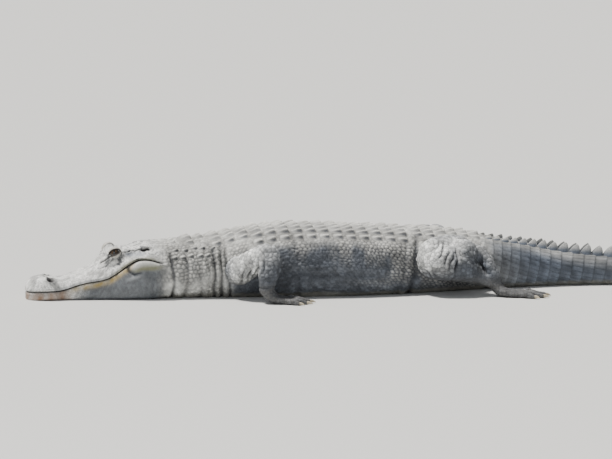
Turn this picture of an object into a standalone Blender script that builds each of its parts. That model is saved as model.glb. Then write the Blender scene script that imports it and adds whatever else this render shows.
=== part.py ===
# American alligator lying on its belly, life size: a still model in metres, +Z up.
# The snout points to -X, the animal's left side faces -Y, and the belly rests on z = 0.
# The body is a loft along a bent spine, parted into nodes, with its scutes fused on as keeled plates.
import bmesh
import bpy
import numpy as np
from math import atan2, cos, hypot, pi, radians, sin
from mathutils import Vector

# Driving sizes, in metres
PART_GAP = 0.0003
HEAD_LENGTH = 0.450
HEAD_SCALE = 0.962
NECK_START = -0.452
TORSO_START = -0.330
TAIL_START = 0.560
TAIL_MIDDLE_START = 0.860
TAIL_REAR_START = 1.240
TAIL_TIP_START = 1.620
TAIL_END = 1.980
BODY_SIDES = 28
EYE_RADIUS = 0.0175
LID_THICKNESS = 0.0028
SCUTE_ROOT = 0.007
SEAM = 0.0024
TOE_SIDES = 6
LIMB_SIDES = 12

# Spine heading in degrees against distance along the spine, positive toward the tail's end
HEADING = [(-0.50, 4), (-0.33, 3), (-0.20, 0), (0.60, 0), (0.80, -3), (0.98, -13), (1.30, -32), (1.65, -22),
           (1.98, 6)]
# Body height, half width, squareness, level of the widest place and depth cut off by the floor
HEIGHT = [(-0.50, 0.165), (-0.452, 0.168), (-0.40, 0.171), (-0.31, 0.177), (-0.21, 0.194), (-0.10, 0.206),
          (0.02, 0.205), (0.14, 0.198), (0.27, 0.191), (0.40, 0.183), (0.52, 0.170), (0.60, 0.155),
          (0.70, 0.135), (0.82, 0.109), (0.99, 0.088), (1.20, 0.074), (1.45, 0.060), (1.75, 0.038),
          (1.98, 0.011)]
HALF_WIDTH = [(-0.50, 0.118), (-0.452, 0.126), (-0.38, 0.133), (-0.31, 0.142), (-0.23, 0.159), (-0.10, 0.180),
              (0.08, 0.190), (0.25, 0.182), (0.40, 0.156), (0.52, 0.123), (0.62, 0.098), (0.75, 0.073),
              (0.95, 0.051), (1.25, 0.036), (1.60, 0.022), (1.98, 0.005)]
SQUARENESS = [(-0.50, 2.3), (-0.30, 2.5), (0.00, 2.7), (0.40, 2.6), (0.70, 2.3), (1.20, 2.1), (2.00, 2.0)]
WIDEST = [(-0.50, 0.42), (0.00, 0.42), (0.50, 0.45), (0.90, 0.50), (2.00, 0.50)]
FLOOR_CUT = [(-0.50, 0.016), (0.00, 0.022), (0.50, 0.018), (0.90, 0.006), (2.00, 0.001)]

# The head against distance from the snout tip: half width, midline top, mouth line, share of cranium shape
HEAD_WIDTH = [(0.000, 0.015), (0.005, 0.029), (0.018, 0.045), (0.045, 0.060), (0.075, 0.066), (0.110, 0.064),
              (0.150, 0.068), (0.200, 0.076), (0.255, 0.088), (0.300, 0.099), (0.350, 0.108), (0.410, 0.114),
              (0.450, 0.122)]
HEAD_TOP = [(0.000, 0.042), (0.008, 0.056), (0.025, 0.067), (0.050, 0.072), (0.075, 0.068), (0.105, 0.064),
            (0.140, 0.069), (0.170, 0.078), (0.220, 0.098), (0.260, 0.119), (0.295, 0.137), (0.330, 0.149),
            (0.380, 0.158), (0.430, 0.166), (0.450, 0.168)]
MOUTH = [(0.000, 0.024), (0.026, 0.0265), (0.063, 0.0275), (0.100, 0.029), (0.125, 0.034), (0.151, 0.0425),
         (0.188, 0.0515), (0.225, 0.0575), (0.255, 0.066), (0.277, 0.079), (0.304, 0.098), (0.322, 0.110),
         (0.341, 0.119), (0.367, 0.122), (0.390, 0.119), (0.411, 0.113), (0.450, 0.105)]
CRANIUM = [(0.000, 0.0), (0.180, 0.0), (0.250, 0.6), (0.310, 1.0), (0.450, 1.0)]
HEAD_STATIONS = [0.0, 0.005, 0.016, 0.034, 0.058, 0.082, 0.112, 0.135, 0.160, 0.190, 0.222, 0.250, 0.270, 0.288,
                 0.305, 0.322, 0.345, 0.370, 0.395, 0.422, 0.450]
# Half a section from the midline outward, as shares of half width and of height over the mouth line or floor
SNOUT_HALF = [(0.0, 1.0), (0.36, 0.985), (0.64, 0.92), (0.85, 0.74), (0.97, 0.46), (1.0, 0.20), (0.975, 0.0)]
CRANIUM_HALF = [(0.0, 1.0), (0.30, 1.0), (0.56, 0.96), (0.64, 0.70), (0.84, 0.46), (0.98, 0.20), (1.0, 0.0)]
JAW_HALF = [(0.925, 1.0), (0.97, 0.70), (0.98, 0.42), (0.93, 0.16), (0.76, 0.0)]
CHEEK_HALF = [(0.985, 1.0), (1.06, 0.78), (1.07, 0.50), (1.02, 0.22), (0.82, 0.0)]

# Nostrils, eyes and ears, from the snout tip, the midline and the floor
NOSTRIL = (0.070, 0.022, 0.062)
EYE = (0.2790, 0.0610, 0.1405)
BROW = (0.284, 0.051, 0.126)
BROW_SIZE = (0.053, 0.031, 0.0290)
EAR_FRONT = (0.314, 0.073, 0.1455)
EAR_REAR = (0.386, 0.079, 0.1515)

# Rows of scutes: first and last distance along the spine, the row pitch, and each pair's distance from midline
BACK_ROWS = [(-0.300, -0.215, 0.0425, (0.019, 0.056, 0.092)),
             (-0.172, 0.300, 0.0415, (0.020, 0.060, 0.099, 0.136)),
             (0.338, 0.420, 0.0400, (0.019, 0.057, 0.093)),
             (0.458, 0.545, 0.0380, (0.019, 0.056))]
CREST_START = 0.575
CREST_MERGE = 1.060
CREST_END = 1.950

COLOURS = {"head": (0.46, 0.46, 0.44), "jaw": (0.45, 0.42, 0.33), "body": (0.36, 0.37, 0.37),
           "tail": (0.27, 0.29, 0.32), "leg": (0.38, 0.39, 0.39), "foot": (0.30, 0.31, 0.31),
           "claw": (0.62, 0.56, 0.44), "eye": (0.16, 0.08, 0.03)}


def track(keys):
    """A smooth curve through (place, value) pairs that doesn't overshoot them."""
    place, value = np.array(keys, float).T
    step = np.diff(place)
    slope = np.diff(value) / step
    tangent = np.concatenate([slope[:1], (slope[1:] + slope[:-1]) / 2, slope[-1:]])
    for i, m in enumerate(slope):
        limit = 3 * abs(m)
        for k in (i, i + 1):
            tangent[k] = min(max(tangent[k], -limit), limit)

    def at(where):
        i = min(max(int(np.searchsorted(place, where)) - 1, 0), len(step) - 1)
        t = min(max((where - place[i]) / step[i], 0.0), 1.0)
        return float(value[i] * (1 + 2 * t) * (1 - t) ** 2 + value[i + 1] * t * t * (3 - 2 * t)
                     + step[i] * (tangent[i] * t * (1 - t) ** 2 + tangent[i + 1] * t * t * (t - 1)))

    return at


heading, height, half_width = track(HEADING), track(HEIGHT), track(HALF_WIDTH)
squareness, widest, floor_cut = track(SQUARENESS), track(WIDEST), track(FLOOR_CUT)
head_width, head_top, mouth, cranium = track(HEAD_WIDTH), track(HEAD_TOP), track(MOUTH), track(CRANIUM)

SPINE_STEP = 0.005
SPINE_S = np.arange(NECK_START - 0.01, TAIL_END + 0.01, SPINE_STEP)
SPINE_TURN = np.radians([heading(s) for s in SPINE_S])
SPINE_X = np.concatenate([[0], np.cumsum(np.cos(SPINE_TURN[:-1]) * SPINE_STEP)])
SPINE_Y = np.concatenate([[0], np.cumsum(np.sin(SPINE_TURN[:-1]) * SPINE_STEP)])
SPINE_X = SPINE_X - np.interp(0.0, SPINE_S, SPINE_X)
SPINE_Y = SPINE_Y - np.interp(0.0, SPINE_S, SPINE_Y)


def spine(s):
    """The spine's place on the floor, the way to the tail and the way to the animal's left."""
    turn = radians(heading(s))
    at = Vector((np.interp(s, SPINE_S, SPINE_X), np.interp(s, SPINE_S, SPINE_Y), 0))
    return at, Vector((cos(turn), sin(turn), 0)), Vector((sin(turn), -cos(turn), 0))


def outline(s, around, swell=0.0):
    """A point of the body's section as distance to the left and height, around = 0 on the back."""
    tall, power = height(s), 2 / squareness(s)
    middle = widest(s) * tall
    c, d = cos(around), sin(around)
    rise = tall - middle if c > 0 else middle + floor_cut(s)
    across = (half_width(s) + swell) * abs(d) ** power * (1 if d > 0 else -1)
    up = middle + (rise + swell) * abs(c) ** power * (1 if c > 0 else -1)
    return across, max(up, -swell)


def section(s, around, swell=0.0):
    """A point of the body in space."""
    at, _, left = spine(s)
    across, up = outline(s, around, swell)
    return at + left * across + Vector((0, 0, up))


def on_back(s, arc):
    """The point at a distance round the section from the back's midline, the way out and the way to the tail."""
    steps = np.linspace(0, pi, 121) * (1 if arc >= 0 else -1)
    line = [section(s, a) for a in steps]
    run = np.concatenate([[0], np.cumsum([(b - a).length for a, b in zip(line, line[1:])])])
    around = float(np.interp(abs(arc), run, steps))
    tiny = 0.004
    along = (section(s + tiny, around) - section(s - tiny, around)).normalized()
    one, two = (section(s, float(np.interp(abs(arc) + d, run, steps))) for d in (-0.006, 0.006))
    across = (two - one) * (1 if arc >= 0 else -1)
    if abs(arc) < 0.006:
        across = spine(s)[2]
    return section(s, around), along.cross(across).normalized() * -1, along


def head_point(s, across, up):
    """A point of the head from its place behind the snout tip, to the left of the midline and height."""
    at, tailward, left = spine(NECK_START)
    return at - tailward * (HEAD_LENGTH - s) * HEAD_SCALE + left * across + Vector((0, 0, up))


NECK_MIDDLE = 0.085
NECK_RING = [outline(NECK_START, a) for a in np.linspace(0, pi, 91)]
NECK_ANGLE = [atan2(up - NECK_MIDDLE, across) for across, up in NECK_RING]
NECK_REACH = [hypot(across, up - NECK_MIDDLE) for across, up in NECK_RING]


def toward_neck(s, across, up):
    """Lets the rear of the head swell into the neck's outline."""
    share = min(max((s - 0.350) / (HEAD_LENGTH - 0.350), 0.0), 1.0)
    share = share * share * (3 - 2 * share)
    angle = atan2(up - NECK_MIDDLE, across)
    reach = hypot(across, up - NECK_MIDDLE)
    goal = float(np.interp(-angle, [-a for a in NECK_ANGLE], NECK_REACH))
    reach += (goal - reach) * share
    return reach * cos(angle), max(NECK_MIDDLE + reach * sin(angle), 0.0)


def mesh_object(name, bm, collection):
    bm.normal_update()
    bmesh.ops.recalc_face_normals(bm, faces=bm.faces)
    mesh = bpy.data.meshes.new(name)
    bm.to_mesh(mesh)
    bm.free()
    made = bpy.data.objects.new(name, mesh)
    collection.objects.link(made)
    return made


def loft(name, rings, collection):
    """A closed skin over rings of equal count, the first and last one capped."""
    bm = bmesh.new()
    rows = [[bm.verts.new(p) for p in ring] for ring in rings]
    for near, far in zip(rows, rows[1:]):
        for i in range(len(near)):
            j = (i + 1) % len(near)
            bm.faces.new((near[i], near[j], far[j], far[i]))
    bm.faces.new(rows[0])
    bm.faces.new(rows[-1])
    return mesh_object(name, bm, collection)


def hull(name, points, collection):
    """The closed convex body round a few points."""
    bm = bmesh.new()
    for p in points:
        bm.verts.new(p)
    made = bmesh.ops.convex_hull(bm, input=bm.verts)
    spare = {g for g in made["geom_interior"] + made["geom_unused"] if isinstance(g, bmesh.types.BMVert)}
    bmesh.ops.delete(bm, geom=list(spare), context="VERTS")
    return mesh_object(name, bm, collection)


def ball(name, centre, size, collection, across=14, rows=9, ways=None):
    """An ellipsoid with its half sizes along three ways."""
    ways = ways or (Vector((1, 0, 0)), Vector((0, 1, 0)), Vector((0, 0, 1)))
    bm = bmesh.new()
    bmesh.ops.create_uvsphere(bm, u_segments=across, v_segments=rows, radius=1.0)
    for v in bm.verts:
        v.co = centre + sum((w * (c * r) for w, c, r in zip(ways, v.co, size)), Vector())
    return mesh_object(name, bm, collection)


def tools():
    made = bpy.data.collections.new("tools")
    bpy.context.scene.collection.children.link(made)
    return made


def largest_only(obj):
    """Keeps the largest closed surface of a mesh, where surfaces that only share a corner count as two."""
    bm = bmesh.new()
    bm.from_mesh(obj.data)
    left, groups = set(bm.faces), []
    while left:
        group, front = [], [left.pop()]
        while front:
            face = front.pop()
            group.append(face)
            near = {f for e in face.edges for f in e.link_faces} & left
            left -= near
            front.extend(near)
        groups.append(group)
    groups.sort(key=lambda g: sum(f.calc_area() for f in g))
    for group in groups[:-1]:
        bmesh.ops.delete(bm, geom=group, context="FACES")
    bm.to_mesh(obj.data)
    bm.free()


def combine(obj, operation, parts, solver="EXACT"):
    """Joins a collection of bodies to one body, or cuts them from it, and removes them."""
    step = obj.modifiers.new(operation.lower(), "BOOLEAN")
    step.operation = operation
    step.operand_type = "COLLECTION"
    step.collection = parts
    step.solver = solver
    bpy.context.view_layer.update()
    done = bpy.data.meshes.new_from_object(obj.evaluated_get(bpy.context.evaluated_depsgraph_get()))
    obj.modifiers.clear()
    obj.data = done
    for part in list(parts.objects):
        bpy.data.objects.remove(part)
    bpy.data.collections.remove(parts)
    largest_only(obj)


def paint(obj, kind, roughness=0.75):
    made = bpy.data.materials.get(kind) or bpy.data.materials.new(kind)
    made.use_nodes = True
    shader = made.node_tree.nodes["Principled BSDF"]
    shader.inputs["Base Color"].default_value = (*COLOURS[kind], 1)
    shader.inputs["Roughness"].default_value = roughness
    obj.data.materials.clear()
    obj.data.materials.append(made)


TRUNK = ((NECK_START, TORSO_START, 0.030), (TORSO_START, TAIL_START, 0.045), (TAIL_START, TAIL_MIDDLE_START, 0.050))


def stations(start, end, pitch):
    """Where a length of the body has its sections: evenly, and on the torso along the seams between scutes."""
    if start != TORSO_START:
        return list(np.linspace(start, end, max(2, round((end - start) / pitch) + 1)))
    seams = {round(float(s) + half * step, 4) for first, last, step, _ in BACK_ROWS
             for s in np.arange(first, last + 0.001, step) for half in (-0.5, 0.5)}
    kept = [start]
    for s in sorted(seams) + [end]:
        if s - kept[-1] > 0.006:
            kept.append(s)
    return kept


def body_loft(name, start, end, pitch, collection, swell=0.0, gap=PART_GAP / 2):
    """A length of the body between two planes square to the spine."""
    places = stations(start, end, pitch)
    places[0], places[-1] = start + gap, end - gap
    rings = [[section(s, 2 * pi * (i + 0.5) / BODY_SIDES, swell) for i in range(BODY_SIDES)] for s in places]
    return loft(name, rings, collection)


def scute(s, arc, length, width, keel, collection, swell=0.0):
    """A keeled plate on the back: a low rim, and a ridge that rises toward the tail."""
    foot, out, along = on_back(s, arc)
    foot, length, width = foot + out * swell, length + 2 * swell, width + 2 * swell
    side = out.cross(along)
    plan = ((-1.0, -0.72), (-1.0, 0.72), (0.05, 1.0), (1.0, 0.70), (1.0, -0.70), (0.05, -1.0))
    points = []
    for level, share in ((-SCUTE_ROOT, 1.0), (0.0022, 0.94)):
        points += [foot + along * a * share * length / 2 + side * b * share * width / 2 + out * level
                   for a, b in plan]
    points.append(foot - along * length * 0.34 + out * (0.003 + keel * 0.35))
    points.append(foot + along * length * 0.30 + out * (0.003 + keel))
    hull("scute", points, collection)


def blade(s, arc, length, thick, tall, lean, collection):
    """An upright crest plate of the tail that leans back to a blunt tip."""
    foot, out, along = on_back(s, arc)
    side = Vector((0, 0, 1)).cross(along).normalized()
    out = Vector((0, 0, 1)) if abs(arc) < 0.001 else (out + Vector((0, 0, 0.8))).normalized()
    points = []
    for level, front, back, share in ((-SCUTE_ROOT, -0.50, 0.50, 1.0), (tall * 0.30, -0.42, 0.48, 0.8),
                                      (tall * 0.78, 0.02, 0.50, 0.42)):
        for a in (front, back):
            for b in (-1, 1):
                points.append(foot + along * (a * length + lean * max(level, 0)) + side * b * share * thick / 2
                              + out * level)
    points.append(foot + along * (0.42 * length + lean * tall) + out * tall)
    hull("blade", points, collection)


def back_scutes(start, end, plates, swell=0.0):
    """Lays the rows of scutes whose plates lie wholly on this length of the body."""
    draw = np.random.default_rng(7)
    for first, last, pitch, arcs in BACK_ROWS:
        for s in np.arange(first, last + 0.001, pitch):
            for k, arc in enumerate(arcs):
                for side in (-1, 1):
                    vary = 1 + 0.10 * (draw.random(3) - 0.5)
                    if s - pitch / 2 < start or s + pitch / 2 > end:
                        continue
                    outer = k == len(arcs) - 1
                    near = arcs[k] - (arcs[k - 1] if k else -arcs[0])
                    scute(s, side * arc, (pitch - SEAM) * (0.82 if outer else 1.0), (near - SEAM) * vary[1],
                          (0.0075 if outer else 0.0100) * vary[2], plates, swell)


def add_neck_scutes(body):
    """Fuses the row behind the skull and the cluster of large shields on the nape."""
    plates = tools()
    for s, arc, length, width, keel in ((-0.437, 0.017, 0.020, 0.026, 0.007), (-0.434, 0.047, 0.020, 0.024, 0.007),
                                        (-0.388, 0.021, 0.040, 0.036, 0.013), (-0.384, 0.062, 0.032, 0.032, 0.010),
                                        (-0.348, 0.019, 0.034, 0.033, 0.012)):
        for side in (-1, 1):
            scute(s, side * arc, length, width, keel, plates)
    combine(body, "UNION", plates)


def crest_places():
    """Distances along the spine of the tail's crest plates, their spacing and their height."""
    s = CREST_START
    while s < CREST_END:
        grow = min(max((s - 0.56) / 0.28, 0.0), 1.0)
        shrink = min(max((s - 1.30) / (CREST_END - 1.30), 0.0), 1.0)
        pitch = 0.027 + 0.011 * grow - 0.014 * shrink
        yield s, pitch, (0.010 + 0.020 * grow) * (1 - 0.62 * shrink)
        s += pitch


def add_tail_crest(body, start, end):
    """Fuses a double crest that closes into a single one halfway along the tail, and flat plates between."""
    plates = tools()
    for s, pitch, tall in crest_places():
        if s - pitch * 0.55 < start or s + pitch * 0.80 > end:
            continue
        apart = half_width(s) * (0.44 - 0.20 * min(max((s - 0.6) / 0.4, 0.0), 1.0))
        if s < CREST_MERGE:
            for side in (-1, 1):
                blade(s, side * apart, pitch - SEAM, 0.011, tall, 0.10, plates)
                if s < 0.70:
                    scute(s, side * (apart + 0.030), pitch - SEAM, 0.028, 0.005, plates)
        else:
            blade(s, 0.0, pitch - SEAM, 0.010, tall, 0.12, plates)
    combine(body, "UNION", plates)


def head_rings(lower):
    """Sections of the upper head, or of the lower jaw, that share the mouth's surface but for the gap."""
    rings = []
    for s in HEAD_STATIONS:
        share, line = cranium(s), mouth(s)
        if lower:
            half = [(a + (c - a) * share, b) for (a, b), (c, _) in zip(JAW_HALF, CHEEK_HALF)]
            half = [(a * head_width(s), b * (line - PART_GAP / 2)) for a, b in half]
        else:
            base = line + PART_GAP / 2
            half = [(a + (c - a) * share, b + (d - b) * share)
                    for (a, b), (c, d) in zip(SNOUT_HALF, CRANIUM_HALF)]
            half = [(a * head_width(s), base + b * (head_top(s) - base)) for a, b in half]
        place = s - (PART_GAP / 2 if s == HEAD_STATIONS[-1] else 0)
        half = [toward_neck(s, a, z) for a, z in half]
        edge = -1 if not lower else 0
        half[edge] = (half[edge][0], line + (-PART_GAP / 2 if lower else PART_GAP / 2))
        full = [(-a, z) for a, z in half[::-1]] + (half if lower else half[1:])
        rings.append([head_point(place, a, z) for a, z in full])
    return rings


def eye_frame(side):
    """The eye's centre, the way it looks, the way along its lids and the way up across them."""
    centre = head_point(EYE[0], side * EYE[1], EYE[2])
    _, tailward, left = spine(NECK_START)
    look = (left * side * 0.93 - tailward * 0.30 + Vector((0, 0, 0.22))).normalized()
    slant = (tailward + Vector((0, 0, 0.36))).normalized()
    slant = (slant - look * slant.dot(look)).normalized()
    up = slant.cross(look) * side
    return centre, look, slant, up if up.z > 0 else -up


def shape_head(head):
    """Raises the brows, nostril rims and lids, then opens the eyes, nostrils and ear slits."""
    raised, cut, sockets = tools(), tools(), tools()
    _, tailward, left = spine(NECK_START)
    for side in (-1, 1):
        ways = ((tailward + Vector((0, 0, 0.20))).normalized(), left * side, Vector((0, 0, 1)))
        ball("brow", head_point(BROW[0], side * BROW[1], BROW[2]), BROW_SIZE, raised, 14, 8, ways)
        centre, look, slant, up = eye_frame(side)
        lid = EYE_RADIUS + LID_THICKNESS
        ball("lid", centre, (lid, lid, lid), raised, 16, 10, (slant, look, up))
        ball("socket", centre, (EYE_RADIUS + PART_GAP,) * 3, sockets, 16, 10, (slant, look, up))
        almond = [centre]
        for a, b in ((-1.0, -0.10), (-0.55, 0.42), (0.10, 0.60), (0.70, 0.46), (1.05, 0.10), (0.60, -0.40),
                     (0.0, -0.55), (-0.60, -0.42)):
            almond.append(centre + (look + slant * a * 0.98 + up * b * 0.92) * EYE_RADIUS * 2)
        hull("opening", almond, cut)
        nose = head_point(NOSTRIL[0], side * NOSTRIL[1], NOSTRIL[2])
        ball("nose", nose, (0.019, 0.015, 0.013), raised, 10, 6, (tailward, left, Vector((0, 0, 1))))
        way = (Vector((0, 0, 1)) + left * side * 0.55 + tailward * 0.45).normalized()
        one, two = way.orthogonal().normalized(), way.cross(way.orthogonal().normalized())
        ring = [(one * cos(a) + two * sin(a)) * 0.0048 for a in np.linspace(0, 2 * pi, 9)[:-1]]
        hull("nostril", [nose + way * d + r for d in (0.004, 0.030) for r in ring], cut)
        slit = []
        for (s, across, up_to), high in ((EAR_FRONT, 0.0018), (EAR_REAR, 0.0034)):
            for a in (-0.008, 0.030):
                for h in (-high, high):
                    slit.append(head_point(s, side * (across + a), up_to + h))
        hull("ear", slit, cut)
    combine(head, "UNION", raised)
    combine(head, "DIFFERENCE", cut)
    combine(head, "DIFFERENCE", sockets)


def limb_ring(centre, way, side, wide, tall, sides=LIMB_SIDES, floor=0.0):
    """A section of a limb, square to its way, kept above the floor."""
    side = (side - way * side.dot(way)).normalized()
    up = side.cross(way)
    ring = [centre + side * cos(a) * wide + up * sin(a) * tall
            for a in (2 * pi * (i + 0.5) / sides for i in range(sides))]
    return [Vector((p.x, p.y, max(p.z, floor))) for p in ring]


def limb(name, joints, collection, side, last_way=None, rounded=True, sides=LIMB_SIDES):
    """A length of limb through joints of (place, half width, half height), rounded at its ends."""
    places = [Vector(j[0]) for j in joints]
    rings = []
    for k, (place, (_, wide, tall)) in enumerate(zip(places, joints)):
        way = (places[min(k + 1, len(places) - 1)] - places[max(k - 1, 0)]).normalized()
        if k == len(places) - 1 and last_way is not None:
            way = last_way
        rings.append(limb_ring(place, way, side, wide, tall, sides))
        if k == 0:
            rings.insert(0, limb_ring(place - way * wide * 0.5, way, side, wide * 0.6, tall * 0.6, sides))
        if k == len(places) - 1 and rounded and last_way is None:
            rings.append(limb_ring(place + way * wide * 0.5, way, side, wide * 0.6, tall * 0.6, sides))
    return loft(name, rings, collection)


# Joints of the legs as place, half width and half height; the left ones follow the photo
UPPER_ARM = [((-0.245, -0.108, 0.086), 0.042, 0.044), ((-0.231, -0.168, 0.090), 0.040, 0.042),
             ((-0.199, -0.206, 0.123), 0.037, 0.038), ((-0.163, -0.230, 0.145), 0.032, 0.034)]
FOREARM = [((-0.157, -0.233, 0.145), 0.032, 0.034), ((-0.156, -0.249, 0.112), 0.034, 0.035),
           ((-0.163, -0.260, 0.076), 0.028, 0.030), ((-0.169, -0.265, 0.042), 0.022, 0.024)]
THIGH = [((0.462, -0.090, 0.108), 0.064, 0.066), ((0.412, -0.142, 0.114), 0.062, 0.066),
         ((0.370, -0.188, 0.114), 0.053, 0.062)]
SHANK = [((0.376, -0.205, 0.107), 0.046, 0.054), ((0.440, -0.219, 0.104), 0.044, 0.058),
         ((0.505, -0.230, 0.088), 0.030, 0.038), ((0.552, -0.238, 0.051), 0.020, 0.023)]
# Feet: the way each points in degrees from the tail's way toward the outside, toe spread, length and width
FORE_FOOT = {"turn": 5, "palm": (0.056, 0.034, 0.013), "toes": ((34, 0.050), (17, 0.070), (0, 0.079),
                                                               (-17, 0.068), (-36, 0.051)),
             "claws": 3, "thick": 0.0085, "webbed": False}
HIND_FOOT = {"turn": 18, "palm": (0.070, 0.036, 0.014), "toes": ((22, 0.066), (7, 0.088), (-8, 0.092),
                                                                (-24, 0.074)),
             "claws": 3, "thick": 0.0095, "webbed": True}


def flip(place, side):
    return Vector((place[0], place[1] * side, place[2]))


def leg(name, upper, lower, side, ankle_way, outside):
    """A leg of an upper and a lower length, cut clear of the body it grows from."""
    joints = [[(tuple(flip(p, side)), w, t) for p, w, t in part] for part in (upper, lower)]
    level = Vector((1, 0, 0)) if outside is None else outside
    made = limb(name, joints[0], bpy.context.scene.collection, level)
    parts = tools()
    limb("lower", joints[1], parts, level, last_way=ankle_way)
    combine(made, "UNION", parts)
    body = tools()
    for start, end, pitch in TRUNK:
        body_loft("trunk", start, end, pitch, body, swell=PART_GAP * 1.8, gap=-PART_GAP)
    back_scutes(TORSO_START, TAIL_START, body, swell=PART_GAP * 1.8)
    combine(made, "DIFFERENCE", body)
    return made


def foot(name, form, side, ankle, ankle_way, wide, tall):
    """A foot flat on the floor with its toes, and its claws as nodes of their own."""
    scene = bpy.context.scene.collection
    turn = radians(form["turn"])
    long, broad, thick = form["palm"]

    def way(angle):
        return Vector((cos(turn + angle), -sin(turn + angle) * side, 0))

    start = ankle + ankle_way * PART_GAP
    across = Vector((0, 1, 0))
    rings = [limb_ring(start, ankle_way, across, wide, tall)]
    heel = Vector((start.x, start.y, 0)) + way(0) * 0.012
    for share, w, t in ((0.0, broad * 0.80, thick * 1.5), (0.45, broad * 0.95, thick * 1.15),
                        (0.85, broad, thick * 0.9), (1.0, broad * 0.86, thick * 0.62)):
        centre = heel + way(0) * long * share
        rings.append(limb_ring(Vector((centre.x, centre.y, t * 0.72)), way(0), across, w, t))
    made = loft(name, rings, scene)
    toes = tools()
    reach = []
    for k, (angle, length) in enumerate(form["toes"]):
        angle = radians(angle)
        root = heel + way(0) * long * 0.80 + way(pi / 2) * broad * 0.74 * sin(angle) / sin(radians(36))
        r = form["thick"]
        steps = [root + way(angle) * length * t for t in (-0.25, 0.10, 0.40, 0.70, 1.0)]
        sizes = (r, r * 1.05, r * 0.92, r * 0.98, r * 0.66)
        lift = (0.75, 0.95, 1.25, 0.95, 0.80)
        ring = [limb_ring(Vector((p.x, p.y, q * h)), way(angle), Vector((0, 0, 1)), q, q, TOE_SIDES, low)
                for p, q, h, low in zip(steps, sizes, lift, (0.0016, 0.0012, 0.0006, 0.0, 0.0))]
        loft("toe", ring, toes)
        reach.append((steps[3], angle))
        if k < form["claws"]:
            tip = steps[-1] + way(angle) * PART_GAP
            base = [Vector((p.x, p.y, p.z)) + way(angle) * PART_GAP for p in
                    limb_ring(Vector((steps[-1].x, steps[-1].y, sizes[-1] * 0.80)), way(angle), Vector((0, 0, 1)),
                              sizes[-1] * 0.86, sizes[-1] * 0.86, TOE_SIDES)]
            middle = limb_ring(tip + way(angle) * 0.008 + Vector((0, 0, 0.0050)), way(angle), Vector((0, 0, 1)),
                               0.0036, 0.0036, TOE_SIDES)
            point = tip + way(angle) * 0.017 + Vector((0, 0, 0.0008))
            claw = hull(name.replace("foot", "claw") + "_" + str(k + 1), base + middle + [point], scene)
            paint(claw, "claw", 0.4)
    for (near, a), (far, b) in zip(reach, reach[1:]) if form["webbed"] else ():
        roots = (near * 0.85 + heel * 0.15, far * 0.85 + heel * 0.15, heel + way((a + b) / 2) * long * 0.6)
        web = [p + Vector((0, 0, z)) for p in roots for z in (0.0045, 0.0080)]
        hull("web", web, toes)
    combine(made, "UNION", toes, "MANIFOLD")
    return made


def build():
    for old in list(bpy.data.objects):
        bpy.data.objects.remove(old, do_unlink=True)
    scene = bpy.context.scene.collection

    head = loft("head", head_rings(False), scene)
    shape_head(head)
    paint(head, "head")
    paint(loft("lower_jaw", head_rings(True), scene), "jaw")
    for side, label in ((1, "left"), (-1, "right")):
        centre, look, slant, up = eye_frame(side)
        paint(ball("eye_" + label, centre, (EYE_RADIUS,) * 3, scene, 16, 10, (slant, look, up)), "eye", 0.15)

    neck = body_loft("neck", NECK_START, TORSO_START, 0.030, scene)
    add_neck_scutes(neck)
    torso = body_loft("torso", TORSO_START, TAIL_START, 0.045, scene)
    plates = tools()
    back_scutes(TORSO_START, TAIL_START, plates)
    combine(torso, "UNION", plates)
    paint(neck, "body")
    paint(torso, "body")
    for name, start, end in (("tail_base", TAIL_START, TAIL_MIDDLE_START),
                             ("tail_middle", TAIL_MIDDLE_START, TAIL_REAR_START),
                             ("tail_rear", TAIL_REAR_START, TAIL_TIP_START),
                             ("tail_tip", TAIL_TIP_START, TAIL_END)):
        tail = body_loft(name, start, end, 0.050, scene)
        add_tail_crest(tail, start, end)
        paint(tail, "tail")

    for side, label in ((1, "left"), (-1, "right")):
        down = Vector((0.25, 0, -1)).normalized()
        paint(leg("foreleg_" + label, UPPER_ARM, FOREARM, side, down, Vector((1, 0, 0))), "leg")
        paint(leg("hindleg_" + label, THIGH, SHANK, side, down, Vector((0, 1, 0))), "leg")
        paint(foot("forefoot_" + label, FORE_FOOT, side, flip(FOREARM[-1][0], side), down, *FOREARM[-1][1:]), "foot")
        paint(foot("hindfoot_" + label, HIND_FOOT, side, flip(SHANK[-1][0], side), down, *SHANK[-1][1:]), "foot")


build()
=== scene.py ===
"""American alligator at rest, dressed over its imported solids."""
import math

import bmesh
import bpy
import numpy as np
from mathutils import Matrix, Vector


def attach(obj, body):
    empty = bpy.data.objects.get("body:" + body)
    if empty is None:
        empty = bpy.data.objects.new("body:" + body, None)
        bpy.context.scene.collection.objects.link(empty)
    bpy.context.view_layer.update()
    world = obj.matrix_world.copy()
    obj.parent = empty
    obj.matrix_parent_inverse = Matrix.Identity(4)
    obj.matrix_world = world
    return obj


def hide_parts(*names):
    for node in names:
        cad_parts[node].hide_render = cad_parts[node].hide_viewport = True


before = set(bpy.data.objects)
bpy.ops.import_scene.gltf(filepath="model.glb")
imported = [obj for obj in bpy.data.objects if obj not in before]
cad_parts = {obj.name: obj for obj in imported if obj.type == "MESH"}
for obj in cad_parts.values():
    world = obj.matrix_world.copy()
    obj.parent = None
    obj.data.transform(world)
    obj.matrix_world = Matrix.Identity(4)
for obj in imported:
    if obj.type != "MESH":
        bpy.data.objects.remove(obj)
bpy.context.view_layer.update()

# Studio: a plain pale floor, a high sun ahead of the animal, a broad weak light in front of it, and
# a long lens at the height of a crouching onlooker, a little ahead of the shoulder.
AIM = Vector((0.0, 0.0, 0.1914))
AZIMUTH, ELEVATION, DISTANCE, LENS = math.radians(-10.0), math.radians(7.0), 8.0, 149.4
FLOOR_REACH, FLOOR_DROP, FLOOR_TONE = 60.0, 0.0005, (0.62, 0.62, 0.605, 1.0)


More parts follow.
